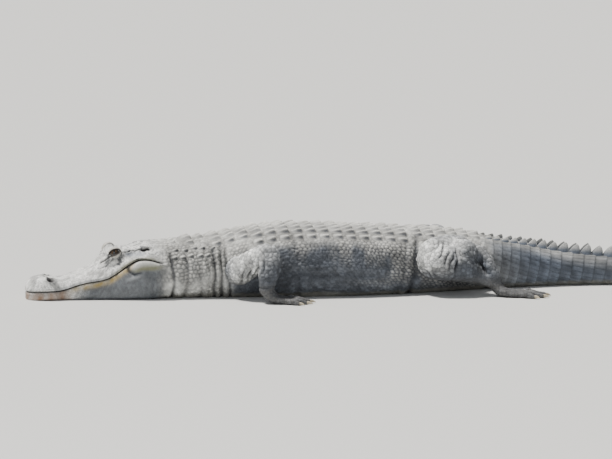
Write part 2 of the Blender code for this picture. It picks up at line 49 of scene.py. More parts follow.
def mesh_piece(name, verts, faces, rounded=True):
    """A mesh object in world metres, its faces turned outward."""
    mesh = bpy.data.meshes.new(name)
    mesh.from_pydata([tuple(v) for v in verts], [], [tuple(f) for f in faces])
    bm = bmesh.new()
    bm.from_mesh(mesh)
    bmesh.ops.recalc_face_normals(bm, faces=bm.faces)
    bm.to_mesh(mesh)
    bm.free()
    if rounded:
        mesh.shade_smooth()
    piece = bpy.data.objects.new(name, mesh)
    bpy.context.scene.collection.objects.link(piece)
    return piece


def turned_to(place, aim):
    """The rotation that points a lamp or the camera from its place to its aim."""
    return (Vector(aim) - Vector(place)).to_track_quat("-Z", "Y").to_euler()


floor_corners = [(x * FLOOR_REACH, y * FLOOR_REACH, -FLOOR_DROP)
                 for x, y in ((-1, -1), (1, -1), (1, 1), (-1, 1))]
floor = mesh_piece("floor", floor_corners, [(0, 1, 2, 3)], rounded=False)
pale = bpy.data.materials.new("pale_floor")
pale.use_nodes = True
pale_shader = pale.node_tree.nodes["Principled BSDF"]
pale_shader.inputs["Base Color"].default_value = FLOOR_TONE
pale_shader.inputs["Roughness"].default_value = 0.9
floor.data.materials.append(pale)

world = bpy.data.worlds.new("studio")
world.use_nodes = True
sky = world.node_tree.nodes["Background"]
sky.inputs["Color"].default_value = (0.86, 0.89, 0.94, 1.0)
sky.inputs["Strength"].default_value = 0.36
bpy.context.scene.world = world


def soft_light(name, kind, place, aim, size, power, colour):
    """A lamp: a sun of so many radians across, or a round panel of so many metres."""
    data = bpy.data.lights.new(name, kind)
    data.energy, data.color = power, colour
    if kind == "SUN":
        data.angle = size
    else:
        data.shape, data.size = "DISK", size
    lamp = bpy.data.objects.new(name, data)
    lamp.location, lamp.rotation_euler = place, turned_to(place, aim)
    bpy.context.scene.collection.objects.link(lamp)


soft_light("key", "SUN", (-1.5, 0.5, 4.2), (0.1, 0.0, 0.1), math.radians(9), 6.2, (1.0, 0.97, 0.925))
soft_light("fill", "AREA", (-2.5, -4.0, 1.8), (-0.1, 0.0, 0.1), 3.0, 34.0, (0.92, 0.95, 1.0))

camera_data = bpy.data.cameras.new("camera")
camera_data.lens, camera_data.sensor_width, camera_data.clip_end = LENS, 36.0, 60.0
camera = bpy.data.objects.new("camera", camera_data)
level_share = math.cos(ELEVATION)
camera.location = AIM + DISTANCE * Vector(
    (math.sin(AZIMUTH) * level_share, -math.cos(AZIMUTH) * level_share, math.sin(ELEVATION)))
camera.rotation_euler = turned_to(camera.location, AIM)
bpy.context.scene.collection.objects.link(camera)
bpy.context.scene.camera = camera

# The hide of the neck, trunk and tail: one skin over flesh, carrying bony scutes in rows along the
# back, round scales on the flanks, square ones under the belly and rings of scales on the tail.
# It is a fine net of points on the body's sections, each raised by the scale that it lies on.

# Along the spine from nape to tail tip: its way in degrees, the body's height and half width, how square
# its section is, at which share of the height it is widest, and how much of it the floor cuts off.
HEADING = [(-0.50, 4), (-0.33, 3), (-0.20, 0), (0.60, 0), (0.80, -3), (0.98, -13), (1.30, -32), (1.65, -22),
           (1.98, 6)]
HEIGHT = [(-0.50, 0.165), (-0.452, 0.168), (-0.40, 0.171), (-0.31, 0.177), (-0.21, 0.194), (-0.10, 0.206),
          (0.02, 0.205), (0.14, 0.198), (0.27, 0.191), (0.40, 0.183), (0.52, 0.170), (0.60, 0.155),
          (0.70, 0.135), (0.82, 0.109), (0.99, 0.088), (1.20, 0.074), (1.45, 0.060), (1.75, 0.038),
          (1.98, 0.011)]
HALF_WIDTH = [(-0.50, 0.118), (-0.452, 0.126), (-0.38, 0.133), (-0.31, 0.142), (-0.23, 0.159), (-0.10, 0.180),
              (0.08, 0.190), (0.25, 0.182), (0.40, 0.156), (0.52, 0.123), (0.62, 0.098), (0.75, 0.073),
              (0.95, 0.051), (1.25, 0.036), (1.60, 0.022), (1.98, 0.005)]
SQUARENESS = [(-0.50, 2.3), (-0.30, 2.5), (0.00, 2.7), (0.40, 2.6), (0.70, 2.3), (1.20, 2.1), (2.00, 2.0)]
WIDEST = [(-0.50, 0.42), (0.00, 0.42), (0.50, 0.45), (0.90, 0.50), (2.00, 0.50)]
FLOOR_CUT = [(-0.50, 0.016), (0.00, 0.022), (0.50, 0.018), (0.90, 0.006), (2.00, 0.001)]
NECK_START, TAIL_END, SPINE_STEP = -0.452, 1.980, 0.005


def curve_between(start, end, start_way, end_way, t):
    """A smooth curve from one value or point to the next, with its slope at both ends."""
    return (start * (1 + 2 * t) * (1 - t) ** 2 + end * t * t * (3 - 2 * t)
            + start_way * t * (1 - t) ** 2 + end_way * t * t * (t - 1))


def track(keys):
    """A smooth curve through (place, value) pairs that doesn't overshoot them."""
    place, value = np.array(keys, float).T
    step = np.diff(place)
    slope = np.diff(value) / step
    tangent = np.concatenate([slope[:1], (slope[1:] + slope[:-1]) / 2, slope[-1:]])
    for i, m in enumerate(slope):
        for k in (i, i + 1):
            tangent[k] = min(max(tangent[k], -3 * abs(m)), 3 * abs(m))

    def at(where):
        where = np.asarray(where, float)
        i = np.clip(np.searchsorted(place, where) - 1, 0, len(step) - 1)
        t = np.clip((where - place[i]) / step[i], 0.0, 1.0)
        return curve_between(value[i], value[i + 1], step[i] * tangent[i], step[i] * tangent[i + 1], t)

    return at


heading, height, half_width = track(HEADING), track(HEIGHT), track(HALF_WIDTH)
squareness, widest, floor_cut = track(SQUARENESS), track(WIDEST), track(FLOOR_CUT)
spine_s = np.arange(NECK_START - 0.01, TAIL_END + 0.01, SPINE_STEP)
spine_turn = np.radians(heading(spine_s))
spine_x = np.concatenate([[0], np.cumsum(np.cos(spine_turn[:-1]) * SPINE_STEP)])
spine_y = np.concatenate([[0], np.cumsum(np.sin(spine_turn[:-1]) * SPINE_STEP)])
spine_x = spine_x - np.interp(0.0, spine_s, spine_x)
spine_y = spine_y - np.interp(0.0, spine_s, spine_y)


def beside_spine(s, left):
    """The ground point at a place on the spine, some way to the animal's left."""
    way = np.radians(heading(s))
    x, y = np.interp(s, spine_s, spine_x), np.interp(s, spine_s, spine_y)
    return x + left * np.sin(way), y - left * np.cos(way)


def smooth(low, high, x):
    """0 at low and beyond it, 1 at high and beyond it, and a soft step between; low may be the greater."""
    t = np.clip((x - low) / (high - low), 0.0, 1.0)
    return t * t * (3 - 2 * t)


def window(x, start, full, fade, end):
    """0 before start and after end, 1 from full to fade, with soft steps between."""
    return smooth(start, full, x) * smooth(end, fade, x)


def bell(x, width):
    """1 where x is 0, fading out to both sides over a width."""
    return np.exp(-(x / width) ** 2)


def tinted(colour, target, share):
    """A colour moved toward another one, by a share for each point."""
    return colour + (target - colour) * share[..., None]


def hash_of(a, b, seed):
    """A repeatable random number in 0..1 for each pair of whole numbers."""
    h = np.sin(a * 127.1 + b * 311.7 + seed * 74.7) * 43758.5453
    return h - np.floor(h)


def noise(x, y, seed):
    """Soft random hills, one for each unit, between -1 and 1."""
    i, j = np.floor(x), np.floor(y)
    u, v = x - i, y - j
    u, v = u * u * (3 - 2 * u), v * v * (3 - 2 * v)
    top = hash_of(i, j, seed) * (1 - u) + hash_of(i + 1, j, seed) * u
    low = hash_of(i, j + 1, seed) * (1 - u) + hash_of(i + 1, j + 1, seed) * u
    return 2 * (top * (1 - v) + low * v) - 1


def scales(x, y, jitter, seed):
    """Scales in staggered rows: distance to the border and to the middle, and a draw for each."""
    i, j = np.floor(x), np.floor(y)
    near = np.full(x.shape, 9.0)
    second = near.copy()
    draw = np.zeros(x.shape)
    for dj in (-1, 0, 1):
        row = j + dj
        shift = 0.5 * np.mod(row, 2)
        for di in (-1, 0, 1):
            cell = np.floor(x - shift) + di
            cx = cell + shift + 0.5 + jitter * (hash_of(cell, row, seed) - 0.5)
            cy = row + 0.5 + jitter * (hash_of(cell, row, seed + 5) - 0.5)
            d = np.hypot(x - cx, y - cy)
            closer = d < near
            second = np.where(closer, near, np.minimum(second, d))
            draw = np.where(closer, hash_of(cell, row, seed + 9), draw)
            near = np.where(closer, d, near)
    return second - near, near, draw


def dome(border, middle, sharp=0.22):
    """The height of a scale, 0 in the groove round it and 1 on its middle."""
    return (1 - np.exp(-border / sharp)) * (1 - 0.35 * np.clip(middle, 0, 1) ** 2)


def section(s, around):
    """Half an outline of the body, from the top down to the floor: distance from the midline, and height."""
    tall, power = height(s), 2 / squareness(s)
    middle = widest(s) * tall
    c = np.cos(around)
    up = middle + np.where(c > 0, tall - middle, -middle - floor_cut(s)) * np.abs(c) ** power
    return half_width(s) * np.abs(np.sin(around)) ** power, np.maximum(up, 0.0)


def body_net(places, half_columns, fine_share):
    """Points on the body's sections: rows along the spine, columns from under the belly over the back."""
    around = np.linspace(0, np.pi, 321)
    grade, dense = np.linspace(0, 1, half_columns), 0.82
    under = fine_share + (grade - dense) / (1 - dense) * (1 - fine_share)
    grade = np.where(grade < dense, grade / dense * fine_share, under)
    net, arcs = [], []
    for s in places:
        across, up = section(s, around)
        run = np.concatenate([[0], np.cumsum(np.hypot(np.diff(across), np.diff(up)))])
        want = grade * run[-1]
        a, z = np.interp(want, run, across), np.interp(want, run, up)
        x, y = beside_spine(s, np.concatenate([-a[::-1], a[1:]]))
        net.append(np.stack([x, y, np.concatenate([z[::-1], z[1:]])], axis=1))
        arcs.append(np.concatenate([-want[::-1], want[1:]]))
    return np.array(net), np.array(arcs)


def net_normals(net):
    """The outward direction at each point of a net."""
    out = np.cross(np.gradient(net, axis=1), np.gradient(net, axis=0))
    out /= np.maximum(np.linalg.norm(out, axis=2, keepdims=True), 1e-9)
    middle = net.shape[1] // 2
    return out if out[:, middle, 2].mean() > 0 else -out


# Rows of scutes as in the solids: first and last place, pitch, and each pair's distance from midline
BACK_ROWS = [(-0.300, -0.215, 0.0425, (0.019, 0.056, 0.092)),
             (-0.172, 0.300, 0.0415, (0.020, 0.060, 0.099, 0.136)),
             (0.338, 0.420, 0.0400, (0.019, 0.057, 0.093)),
             (0.458, 0.545, 0.0380, (0.019, 0.056))]
# the nape's shields: place, distance from midline, length, width and keel; its knobs: place and distance
NAPE_SHIELDS = [(-0.437, 0.017, 0.020, 0.026, 0.007), (-0.434, 0.047, 0.020, 0.024, 0.007),
                (-0.388, 0.021, 0.040, 0.036, 0.013), (-0.384, 0.062, 0.032, 0.032, 0.010),
                (-0.348, 0.019, 0.034, 0.033, 0.012)]
NECK_KNOBS = [(-0.432, 0.098), (-0.404, 0.101), (-0.376, 0.097), (-0.350, 0.104), (-0.440, 0.124),
              (-0.416, 0.128), (-0.389, 0.126), (-0.362, 0.131), (-0.338, 0.134), (-0.316, 0.112)]
KNOB_SIZE = (0.0105, 0.0085, 0.0085)
PALE = np.array((0.67, 0.66, 0.615))
BACK = np.array((0.435, 0.435, 0.415))
FLANK = np.array((0.084, 0.094, 0.112))
DARK = np.array((0.030, 0.033, 0.040))
BELLY = np.array((0.30, 0.29, 0.25))
TAIL = np.array((0.098, 0.116, 0.148))


def scute_list():
    """Every scute of the back and nape: place, arc, half length, half width, keel and a draw."""
    found, draw = [], np.random.default_rng(7)
    for first, last, pitch, arcs in BACK_ROWS:
        for s in np.arange(first, last + 0.001, pitch):
            for k, arc in enumerate(arcs):
                apart = arc - (arcs[k - 1] if k else -arcs[0])
                share, keel = (0.40, 0.0075) if k == len(arcs) - 1 else (0.49, 0.0100)
                for side in (-1, 1):
                    vary = draw.random(3) - 0.5
                    found.append((s + 0.002 * vary[0], side * arc, pitch * share,
                                  apart * (0.47 + 0.03 * vary[1]), keel * (1 + 0.3 * vary[2]), vary[0] + 0.5))
    for s, arc, length, width, keel in NAPE_SHIELDS:
        for side in (-1, 1):
            found.append((s, side * arc, length / 2, width / 2, keel, draw.random()))
    for s, arc in NECK_KNOBS:
        for side in (-1, 1):
            jog = draw.random(2) - 0.5
            found.append((s + 0.006 * jog[0], side * (arc + 0.004 * jog[1]), *KNOB_SIZE, jog[0] + 0.5))
    return found


def ring_pitch(s):
    """The length of a ring of tail scales at a place on the spine, and how far it has grown and shrunk."""
    grow, shrink = np.clip((s - 0.56) / 0.28, 0, 1), np.clip((s - 1.30) / 0.65, 0, 1)
    return 0.027 + 0.011 * grow - 0.014 * shrink, grow, shrink


def whorl_phase(s):
    """How many rings of tail scales lie before a place on the spine."""
    grid = np.arange(0.3, 2.05, SPINE_STEP)
    return np.interp(s, grid, np.cumsum(SPINE_STEP / ring_pitch(grid)[0]))


# folds of loose skin: place, depth, width, and how far each leans on its way down
FOLDS = ((-0.446, 0.0060, 0.0060, 0.03), (-0.318, 0.0075, 0.0060, 0.05), (-0.294, 0.0075, 0.0055, 0.02),
         (-0.405, 0.0030, 0.0060, -0.05), (-0.272, 0.0060, 0.0050, 0.10), (-0.336, 0.0045, 0.0045, 0.09),
         (-0.362, 0.0030, 0.0060, 0.06), (0.318, 0.0070, 0.0100, -0.12), (0.285, 0.0035, 0.0080, -0.16),
         (-0.060, 0.0030, 0.0080, 0.10), (0.560, 0.0030, 0.0080, 0.10))
ROUND_SCALE, FLANK_SCALE, BELLY_PLATE = (0.0135, 0.0115), (0.0145, 0.0085), (0.030, 0.026)


def round_scales(s, arc, side, under):
    """Scales of the neck, flank and belly: relief, a random tone, the grooves, and each scale's own hump."""
    wander = noise(s * 18, arc * 18, 3)
    b, m, r = scales(s / ROUND_SCALE[0] + 0.5 * wander, arc / ROUND_SCALE[1], 0.55, 11)
    b2, m2, r2 = scales(s / FLANK_SCALE[0] + 0.8 * noise(s * 9, arc * 9, 8), arc / FLANK_SCALE[1], 0.6, 23)
    low = smooth(0.185, 0.235, side)
    lift = dome(b, m) * (0.0030 + 0.0022 * r) * (1 - low) + dome(b2, m2, 0.25) * (0.0020 + 0.0022 * r2) * low
    tone = r * (1 - low) + r2 * low
    groove = np.exp(-b / 0.10) * (1 - low) + 0.95 * np.exp(-b2 / 0.16) * low
    hump = dome(b, m) * (1 - low) + dome(b2, m2, 0.3) * low
    # belly plates in rows, each row half a plate on
    row = np.floor(arc / BELLY_PLATE[1])
    by, bx = arc / BELLY_PLATE[1], s / BELLY_PLATE[0] + 0.5 * np.mod(row, 2)
    bx, by = bx - np.floor(bx), by - row
    edge = np.minimum(np.minimum(bx, 1 - bx), np.minimum(by, 1 - by))
    lift = lift * (1 - under) + under * 0.001 * (1 - np.exp(-edge / 0.06))
    return lift, tone, groove, hump


def loose_folds(s, arc, side):
    """Folds of loose skin and the flank's ripples, and how deeply each point is creased."""
    fold, below = np.zeros_like(s), smooth(0.075, 0.13, side)
    for place, depth, wide, lean in FOLDS:
        off = s - place - lean * (side - 0.2) - 0.004 * noise(s * 25, arc * 25, 31)
        fold -= depth * bell(off, wide) * below
        fold += 0.45 * depth * bell(np.abs(off) - 2.4 * wide, 1.5 * wide) * below
    creased = np.clip(-fold / 0.006, 0, 1)
    on_trunk = window(s, -0.28, -0.12, 0.28, 0.42)
    ripple = noise(s * 7 + 3, arc * 30, 41) * 0.0034 + noise(s * 14, arc * 55, 43) * 0.0022
    fold += ripple * smooth(0.16, 0.22, side) * on_trunk
    edge = side - 0.262 - 0.014 * np.sin(s * 9) - 0.012 * noise(s * 12, s * 0, 47)
    fold += (0.0030 * bell(edge + 0.016, 0.014) - 0.0030 * bell(edge, 0.008)) * on_trunk
    return fold, creased


def trunk_colours(s, arc, side, tone, groove, hump):
    """From the pale back to the flank, whose dark slate tone is partly painted shade, with pale scales
    scattered between; the neck is pale, its lower side made paler still with painted light.
    """
    neck = smooth(-0.235, -0.300, s)
    shade = smooth(0.140, 0.195, side) * (1 - 0.88 * neck)
    # painted shade: the flank's dark tone stands in part for the shade it lies in
    colour = BACK * (1 - shade[..., None]) + FLANK * shade[..., None]
    # painted light: the lower neck, which faces down and away from the lamps, is made paler
    colour = colour * ((0.66 + 0.66 * tone) * (1 + 0.70 * neck * smooth(0.16, 0.24, side)))[..., None]
    fleck = np.clip(window(side, 0.105, 0.140, 0.165, 0.265) + neck * smooth(0.05, 0.08, side), 0, 1)
    fleck *= smooth(0.0, 0.30, 0.5 + 0.5 * noise(s * 22, arc * 22, 81) - 0.25)
    patch = smooth(-0.10, 0.55, noise(s * 5.5 + 0.4, arc * 13, 85) + 0.6 * noise(s * 19, arc * 34, 87))
    fleck = np.maximum(fleck, 0.85 * patch * window(side, 0.15, 0.19, 0.22, 0.330))
    speck = DARK * 1.6 + (PALE * 0.80 - DARK * 1.6) * (hump ** 1.3 * (0.55 + 0.5 * tone))[..., None]
    colour = tinted(colour, speck, fleck * 0.92)
    colour = tinted(colour, PALE * 0.62, groove * (1 - shade) * 0.55)
    # painted shade in the grooves between the scales of the shaded flank
    return tinted(colour, DARK, groove * shade * 0.5)


def tail_rings(s, arc, z, side, ringed):
    """The rings of oblong scales round the tail: relief and colour."""
    phase = whorl_phase(s + 0.16 * (side - 0.06) * ringed)
    row, p = np.floor(phase), phase - np.floor(phase)
    tall = 0.013 + 0.003 * hash_of(row, 0 * row, 51)
    q = arc / tall + 0.5 * np.mod(row, 2)
    edge = np.minimum(q - np.floor(q), 1 - q + np.floor(q)) * tall
    ring = (0.0022 * window(p, 0.0, 0.75, 0.90, 1.0) + 0.0004) * (1 - np.exp(-edge / 0.0016))
    ring *= np.clip(half_width(s) / 0.06, 0.35, 1.0)
    seam = np.maximum(np.exp(-edge / 0.0011), smooth(0.90, 0.98, p) + smooth(0.06, 0.0, p))
    from_back = 1 - smooth(0.47, 0.74, s - 0.25 * (side - 0.10))
    light = np.clip(smooth(0.085, 0.035, side) * smooth(1.3, 0.8, s) * 0.8 + from_back * 0.75, 0, 1)
    colour = tinted(TAIL * 1.12, BACK * 0.72, light)
    vary = (0.80 + 0.4 * hash_of(row, np.floor(q), 57)) * (0.85 + 0.35 * smooth(0.3, 0.85, p))
    colour = tinted(colour * vary[..., None], DARK, 0.55 * np.clip(seam, 0, 1))
    mottle = (1 + 0.20 * noise(s * 24, arc * 30, 91)) * (1 - 0.32 * smooth(0.70, 1.15, s))
    colour = colour * mottle[..., None]
    return ring, tinted(colour, BELLY, smooth(0.022, 0.006, z) * 0.7)


def lay_scutes(s, arc, lift, fold, colour):
    """Sets the keeled scutes into the hide: each raised, pale with painted light on its keel and dark with
    painted shade on its outward face.
    """
    for s0, a0, long, wide, keel, draw in scute_list():
        rows = np.nonzero(np.abs(s[:, 0] - s0) < long + 0.006)[0]
        if not len(rows):
            continue
        part = slice(rows[0], rows[-1] + 1)
        p, q = (s[part] - s0) / long, (arc[part] - a0) / wide
        r = (np.abs(p) ** 3.2 + np.abs(q) ** 3.2) ** (1 / 3.2)
        inside = smooth(1.04, 0.86, r)
        ridge = np.exp(-np.abs(q / 0.24) ** 1.7)
        climb = window(p, -1.0, 0.45, 0.62, 1.02)
        plate = 0.0020 + keel * (0.30 * np.clip(1 - np.abs(q), 0, 1) + 0.72 * ridge) * (0.22 + 0.78 * climb)
        plate += 0.0006 * noise(s[part] * 210, arc[part] * 210, 61)
        lift[part] = lift[part] * (1 - inside) * smooth(0.9, 1.25, r) + plate * inside
        fold[part] *= 1 - 0.7 * inside
        base, rim = BACK * (0.90 + 0.28 * draw), smooth(0.72, 0.98, r) * inside
        # painted light: the keel of each scute is made pale
        own = base * (1 - 0.30 * rim)[..., None] + (PALE * 1.12 - base) * (0.70 * ridge * climb)[..., None]
        # painted shade on the outward face of each scute
        outward = q * np.sign(a0)
        outward_painted_shade = window(outward, 0.06, 0.22, 0.60, 0.98) * (0.35 + 0.65 * climb)
        outward_painted_shade *= (0.45 + 0.55 * smooth(0.03, 0.09, abs(a0))) * smooth(1.0, 0.75, np.abs(p))
        own = tinted(own, DARK * 1.4, 0.92 * outward_painted_shade)
        colour[part] = tinted(colour[part], own, inside)
        between = PALE * (0.55 - 0.30 * smooth(0.04, 0.11, abs(a0)))
        colour[part] = tinted(colour[part], between, window(r, 0.86, 1.0, 1.02, 1.25) * 0.70)


def dress(s, arc, z):
    """How far the hide rises at each point, and its colour."""
    side, under, ringed = np.abs(arc), smooth(0.022, 0.006, z), smooth(0.52, 0.60, s)
    lift, tone, groove, hump = round_scales(s, arc, side, under)
    fold, creased = loose_folds(s, arc, side)
    colour = tinted(trunk_colours(s, arc, side, tone, groove, hump), BELLY, under * 0.8)
    ring, tail_colour = tail_rings(s, arc, z, side, ringed)
    lift = lift * (1 - ringed) + ring * ringed
    colour = colour * (1 - ringed[..., None]) + tail_colour * ringed[..., None]
    lay_scutes(s, arc, lift, fold, colour)
    # painted shade in the folds of loose skin
    colour = tinted(colour, DARK * 1.2, creased * 0.75)
    mottle = 1 + 0.16 * noise(s * 60, arc * 60, 71) + 0.16 * noise(s * 16, arc * 16, 73)
    return lift + fold, np.clip(colour * mottle[..., None], 0.01, 1.0)


def paint_vertices(piece, colours):
    """Gives each vertex its colour, in the layer that the materials read."""
    layer = piece.data.color_attributes.new("hide", "FLOAT_COLOR", "POINT")
    data = np.concatenate([colours.reshape(-1, 3), np.ones((colours.size // 3, 1))], axis=1)
    layer.data.foreach_set("color", data.astype(np.float32).ravel())


def joined_rows(index):
    """Quads between the rows of a net whose columns go round and close."""
    right = np.roll(index, -1, axis=1)
    return np.stack([index[:-1], right[:-1], right[1:], index[1:]], axis=-1).reshape(-1, 4).tolist()


def net_piece(name, net, colours, ends=(True, True)):
    """A closed skin over a net whose last column is its first, with a cap on the ends that have one."""
    net, colours = net[:, :-1], colours[:, :-1]
    index = np.arange(net.shape[0] * net.shape[1]).reshape(net.shape[:2])
    faces = joined_rows(index)
    verts, tints = net.reshape(-1, 3).tolist(), colours.reshape(-1, 3).tolist()
    for capped, row in zip(ends, (0, -1)):
        if not capped:
            continue
        ring = index[row].tolist()
        for a, b in zip(ring, ring[1:] + ring[:1]):
            faces.append((b, a, len(verts)) if row == 0 else (a, b, len(verts)))
        verts.append(net[row].mean(axis=0).tolist())
        tints.append(colours[row].mean(axis=0).tolist())
    mesh = bpy.data.meshes.new(name)
    mesh.from_pydata(verts, [], faces)
    probe = bmesh.new()
    probe.from_mesh(mesh)
    if probe.calc_volume(signed=True) < 0:
        bmesh.ops.reverse_faces(probe, faces=probe.faces)
    for edge in probe.edges:
        # the rim of a cap is sharp, so that the hide isn't shaded darker where the next length begins
        edge.smooth = {len(face.verts) for face in edge.link_faces} != {3, 4}
    probe.to_mesh(mesh)
    probe.free()
    mesh.shade_smooth()
    piece = bpy.data.objects.new(name, mesh)
    bpy.context.scene.collection.objects.link(piece)
    paint_vertices(piece, np.array(tints))
    return piece


BLOTCH_SCALE = 34.0


def hide_material(name, grain_scale, bump_depth, roughness):
    """Dry horny hide: the painted markings with the hide's painted light and shade, fine mottling, and pores
    and cracks in the surface.
    """
    made = bpy.data.materials.new(name)
    made.use_nodes = True
    nodes, links = made.node_tree.nodes, made.node_tree.links
    shader = nodes["Principled BSDF"]
    shader.inputs["Specular IOR Level"].default_value = 0.35
    place = nodes.new("ShaderNodeTexCoord").outputs["Object"]

    def texture(kind, scale):
        """A pattern in the piece's own space, so many cells to the metre."""
        node = nodes.new(kind)
        node.inputs["Scale"].default_value = scale
        links.new(place, node.inputs["Vector"])
        return node

    def spread(value, before, after):
        """A value's range, moved and stretched to another range."""
        node = nodes.new("ShaderNodeMapRange")
        for label, number in zip(("From Min", "From Max", "To Min", "To Max"), before + after):
            node.inputs[label].default_value = number
        links.new(value, node.inputs["Value"])
        return node.outputs["Result"]

    def worked_out(operation, *terms):
        """A sum or product of node outputs and plain numbers."""
        node = nodes.new("ShaderNodeMath")
        node.operation = operation
        for socket, term in zip(node.inputs, terms):
            if isinstance(term, float):
                socket.default_value = term
            else:
                links.new(term, socket)
        return node.outputs[0]

    grain = texture("ShaderNodeTexNoise", grain_scale)
    grain.inputs["Detail"].default_value = 5.0
    blotch = texture("ShaderNodeTexNoise", BLOTCH_SCALE)
    blotch.inputs["Detail"].default_value = 4.0
    broad = spread(blotch.outputs["Fac"], (0.30, 0.70), (0.78, 1.20))
    fine = spread(grain.outputs["Fac"], (0.30, 0.70), (0.82, 1.16))
    marks = nodes.new("ShaderNodeAttribute")
    marks.attribute_name = "hide"
    tint = nodes.new("ShaderNodeVectorMath")
    tint.operation = "SCALE"
    links.new(marks.outputs["Color"], tint.inputs[0])
    links.new(worked_out("MULTIPLY", broad, fine), tint.inputs["Scale"])
    links.new(tint.outputs["Vector"], shader.inputs["Base Color"])
    rough = spread(grain.outputs["Fac"], (0.0, 1.0), (roughness - 0.12, roughness + 0.12))
    links.new(rough, shader.inputs["Roughness"])
    cracks = texture("ShaderNodeTexVoronoi", grain_scale * 0.55)
    cracks.feature = "DISTANCE_TO_EDGE"
    groove = spread(cracks.outputs["Distance"], (0.0, 0.12), (0.0, 1.0))
    bump = nodes.new("ShaderNodeBump")
    bump.inputs["Distance"].default_value = bump_depth
    bump.inputs["Strength"].default_value = 0.8
    links.new(worked_out("MULTIPLY_ADD", groove, 0.45, grain.outputs["Fac"]), bump.inputs["Height"])
    links.new(bump.outputs["Normal"], shader.inputs["Normal"])
    return made


hide = hide_material("hide", 420.0, 0.0009, 0.62)
# each length of skin: start and end, the rows' pitch, its columns, their share above the belly, its solids
LENGTHS = (("skin_shoulders", NECK_START - 0.004, 0.050, 0.0025, 150, 0.72, ("neck", "torso")),
           ("skin_loins", 0.050, 0.520, 0.0025, 150, 0.72, ()),
           ("skin_tail_base", 0.520, 0.960, 0.0025, 96, 0.90, ("tail_base", "tail_middle")),
           ("skin_tail", 0.960, TAIL_END + 0.001, 0.0026, 54, 0.94, ("tail_rear", "tail_tip")))
for name, start, end, step, half_columns, fine_share, solids in LENGTHS:
    places = np.linspace(start, end, int((end - start) / step) + 1)
    net, arcs = body_net(places, half_columns, fine_share)
    lift, colours = dress(np.repeat(places[:, None], net.shape[1], axis=1), arcs, net[..., 2])
    skin = net + net_normals(net) * lift[..., None]
    skin[..., 2] = np.maximum(skin[..., 2], 0.0)
    piece = net_piece(name, skin, colours)
    piece.data.materials.append(hide)
    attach(piece, "root")
    if solids:
        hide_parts(*solids)

# The tail's crest: upright plates of horn, in two rows that close into one halfway along the tail.
# Each stands on a ring of scales, leans back and is rooted well into the hide.
CREST_START, CREST_MERGE, CREST_END = 0.575, 1.060, 1.950


def ringed_form(name, rings):
    """A closed form through rings of points."""
    index = np.arange(len(rings) * len(rings[0])).reshape(len(rings), -1)
    faces = joined_rows(index) + [index[0].tolist(), index[-1].tolist()]
    return mesh_piece(name, np.concatenate(rings), faces)


def plate_shape(levels=9, sides=16):
    """A crest plate one unit long, thick and tall: a fin with a thick foot, a thin edge and a blunt tip."""
    around, rings = np.linspace(0, 2 * np.pi, sides, endpoint=False), []
    for h in np.linspace(0, 1, levels):
        lean, long = 0.34 * h ** 1.2, 0.50 * (1 - h ** 1.8) ** 0.75 + 0.025
        thick = 0.5 * (1 - 0.86 * h ** 0.8)
        x = np.sign(np.cos(around)) * np.abs(np.cos(around)) ** 0.9 * long + lean
        y = np.sin(around) * thick * (1 - 0.35 * np.cos(around) ** 2)
        rings.append(np.stack([x, y, np.full(sides, h * 1.22 - 0.22)], axis=1))
    return ringed_form("crest_plate", rings)


def planting_tree(name, material):
    """Stands a copy of a shape on every point, turned and sized by the point's own values."""
    tree = bpy.data.node_groups.new(name, "GeometryNodeTree")
    made = tree.interface
    made.new_socket("Points", in_out="INPUT", socket_type="NodeSocketGeometry")
    shape = made.new_socket("Shape", in_out="INPUT", socket_type="NodeSocketObject")
    grow = made.new_socket("Size", in_out="INPUT", socket_type="NodeSocketFloat")
    made.new_socket("Geometry", in_out="OUTPUT", socket_type="NodeSocketGeometry")
    nodes, links = tree.nodes, tree.links
    source, sink = nodes.new("NodeGroupInput"), nodes.new("NodeGroupOutput")
    fetch = nodes.new("GeometryNodeObjectInfo")
    fetch.transform_space = "ORIGINAL"
    links.new(source.outputs["Shape"], fetch.inputs["Object"])
    stand = nodes.new("GeometryNodeInstanceOnPoints")
    links.new(source.outputs["Points"], stand.inputs["Points"])
    links.new(fetch.outputs["Geometry"], stand.inputs["Instance"])
    scale = nodes.new("ShaderNodeVectorMath")
    scale.operation = "SCALE"
    for label, target in (("turn", stand.inputs["Rotation"]), ("size", scale.inputs[0])):
        value = nodes.new("GeometryNodeInputNamedAttribute")
        value.data_type = "FLOAT_VECTOR"
        value.inputs["Name"].default_value = label
        links.new(value.outputs["Attribute"], target)
    links.new(source.outputs["Size"], scale.inputs["Scale"])
    links.new(scale.outputs["Vector"], stand.inputs["Scale"])
    real = nodes.new("GeometryNodeRealizeInstances")
    links.new(stand.outputs["Instances"], real.inputs["Geometry"])
    paint = nodes.new("GeometryNodeSetMaterial")
    paint.inputs["Material"].default_value = material
    links.new(real.outputs["Geometry"], paint.inputs["Geometry"])
    links.new(paint.outputs["Geometry"], sink.inputs["Geometry"])
    return tree, shape.identifier, grow.identifier


def plain_mesh(piece):
    """Works out a piece's modifiers and keeps only the mesh that they make."""
    bpy.context.view_layer.update()
    done = bpy.data.meshes.new_from_object(piece.evaluated_get(bpy.context.evaluated_depsgraph_get()))
    piece.modifiers.clear()
    piece.data = done


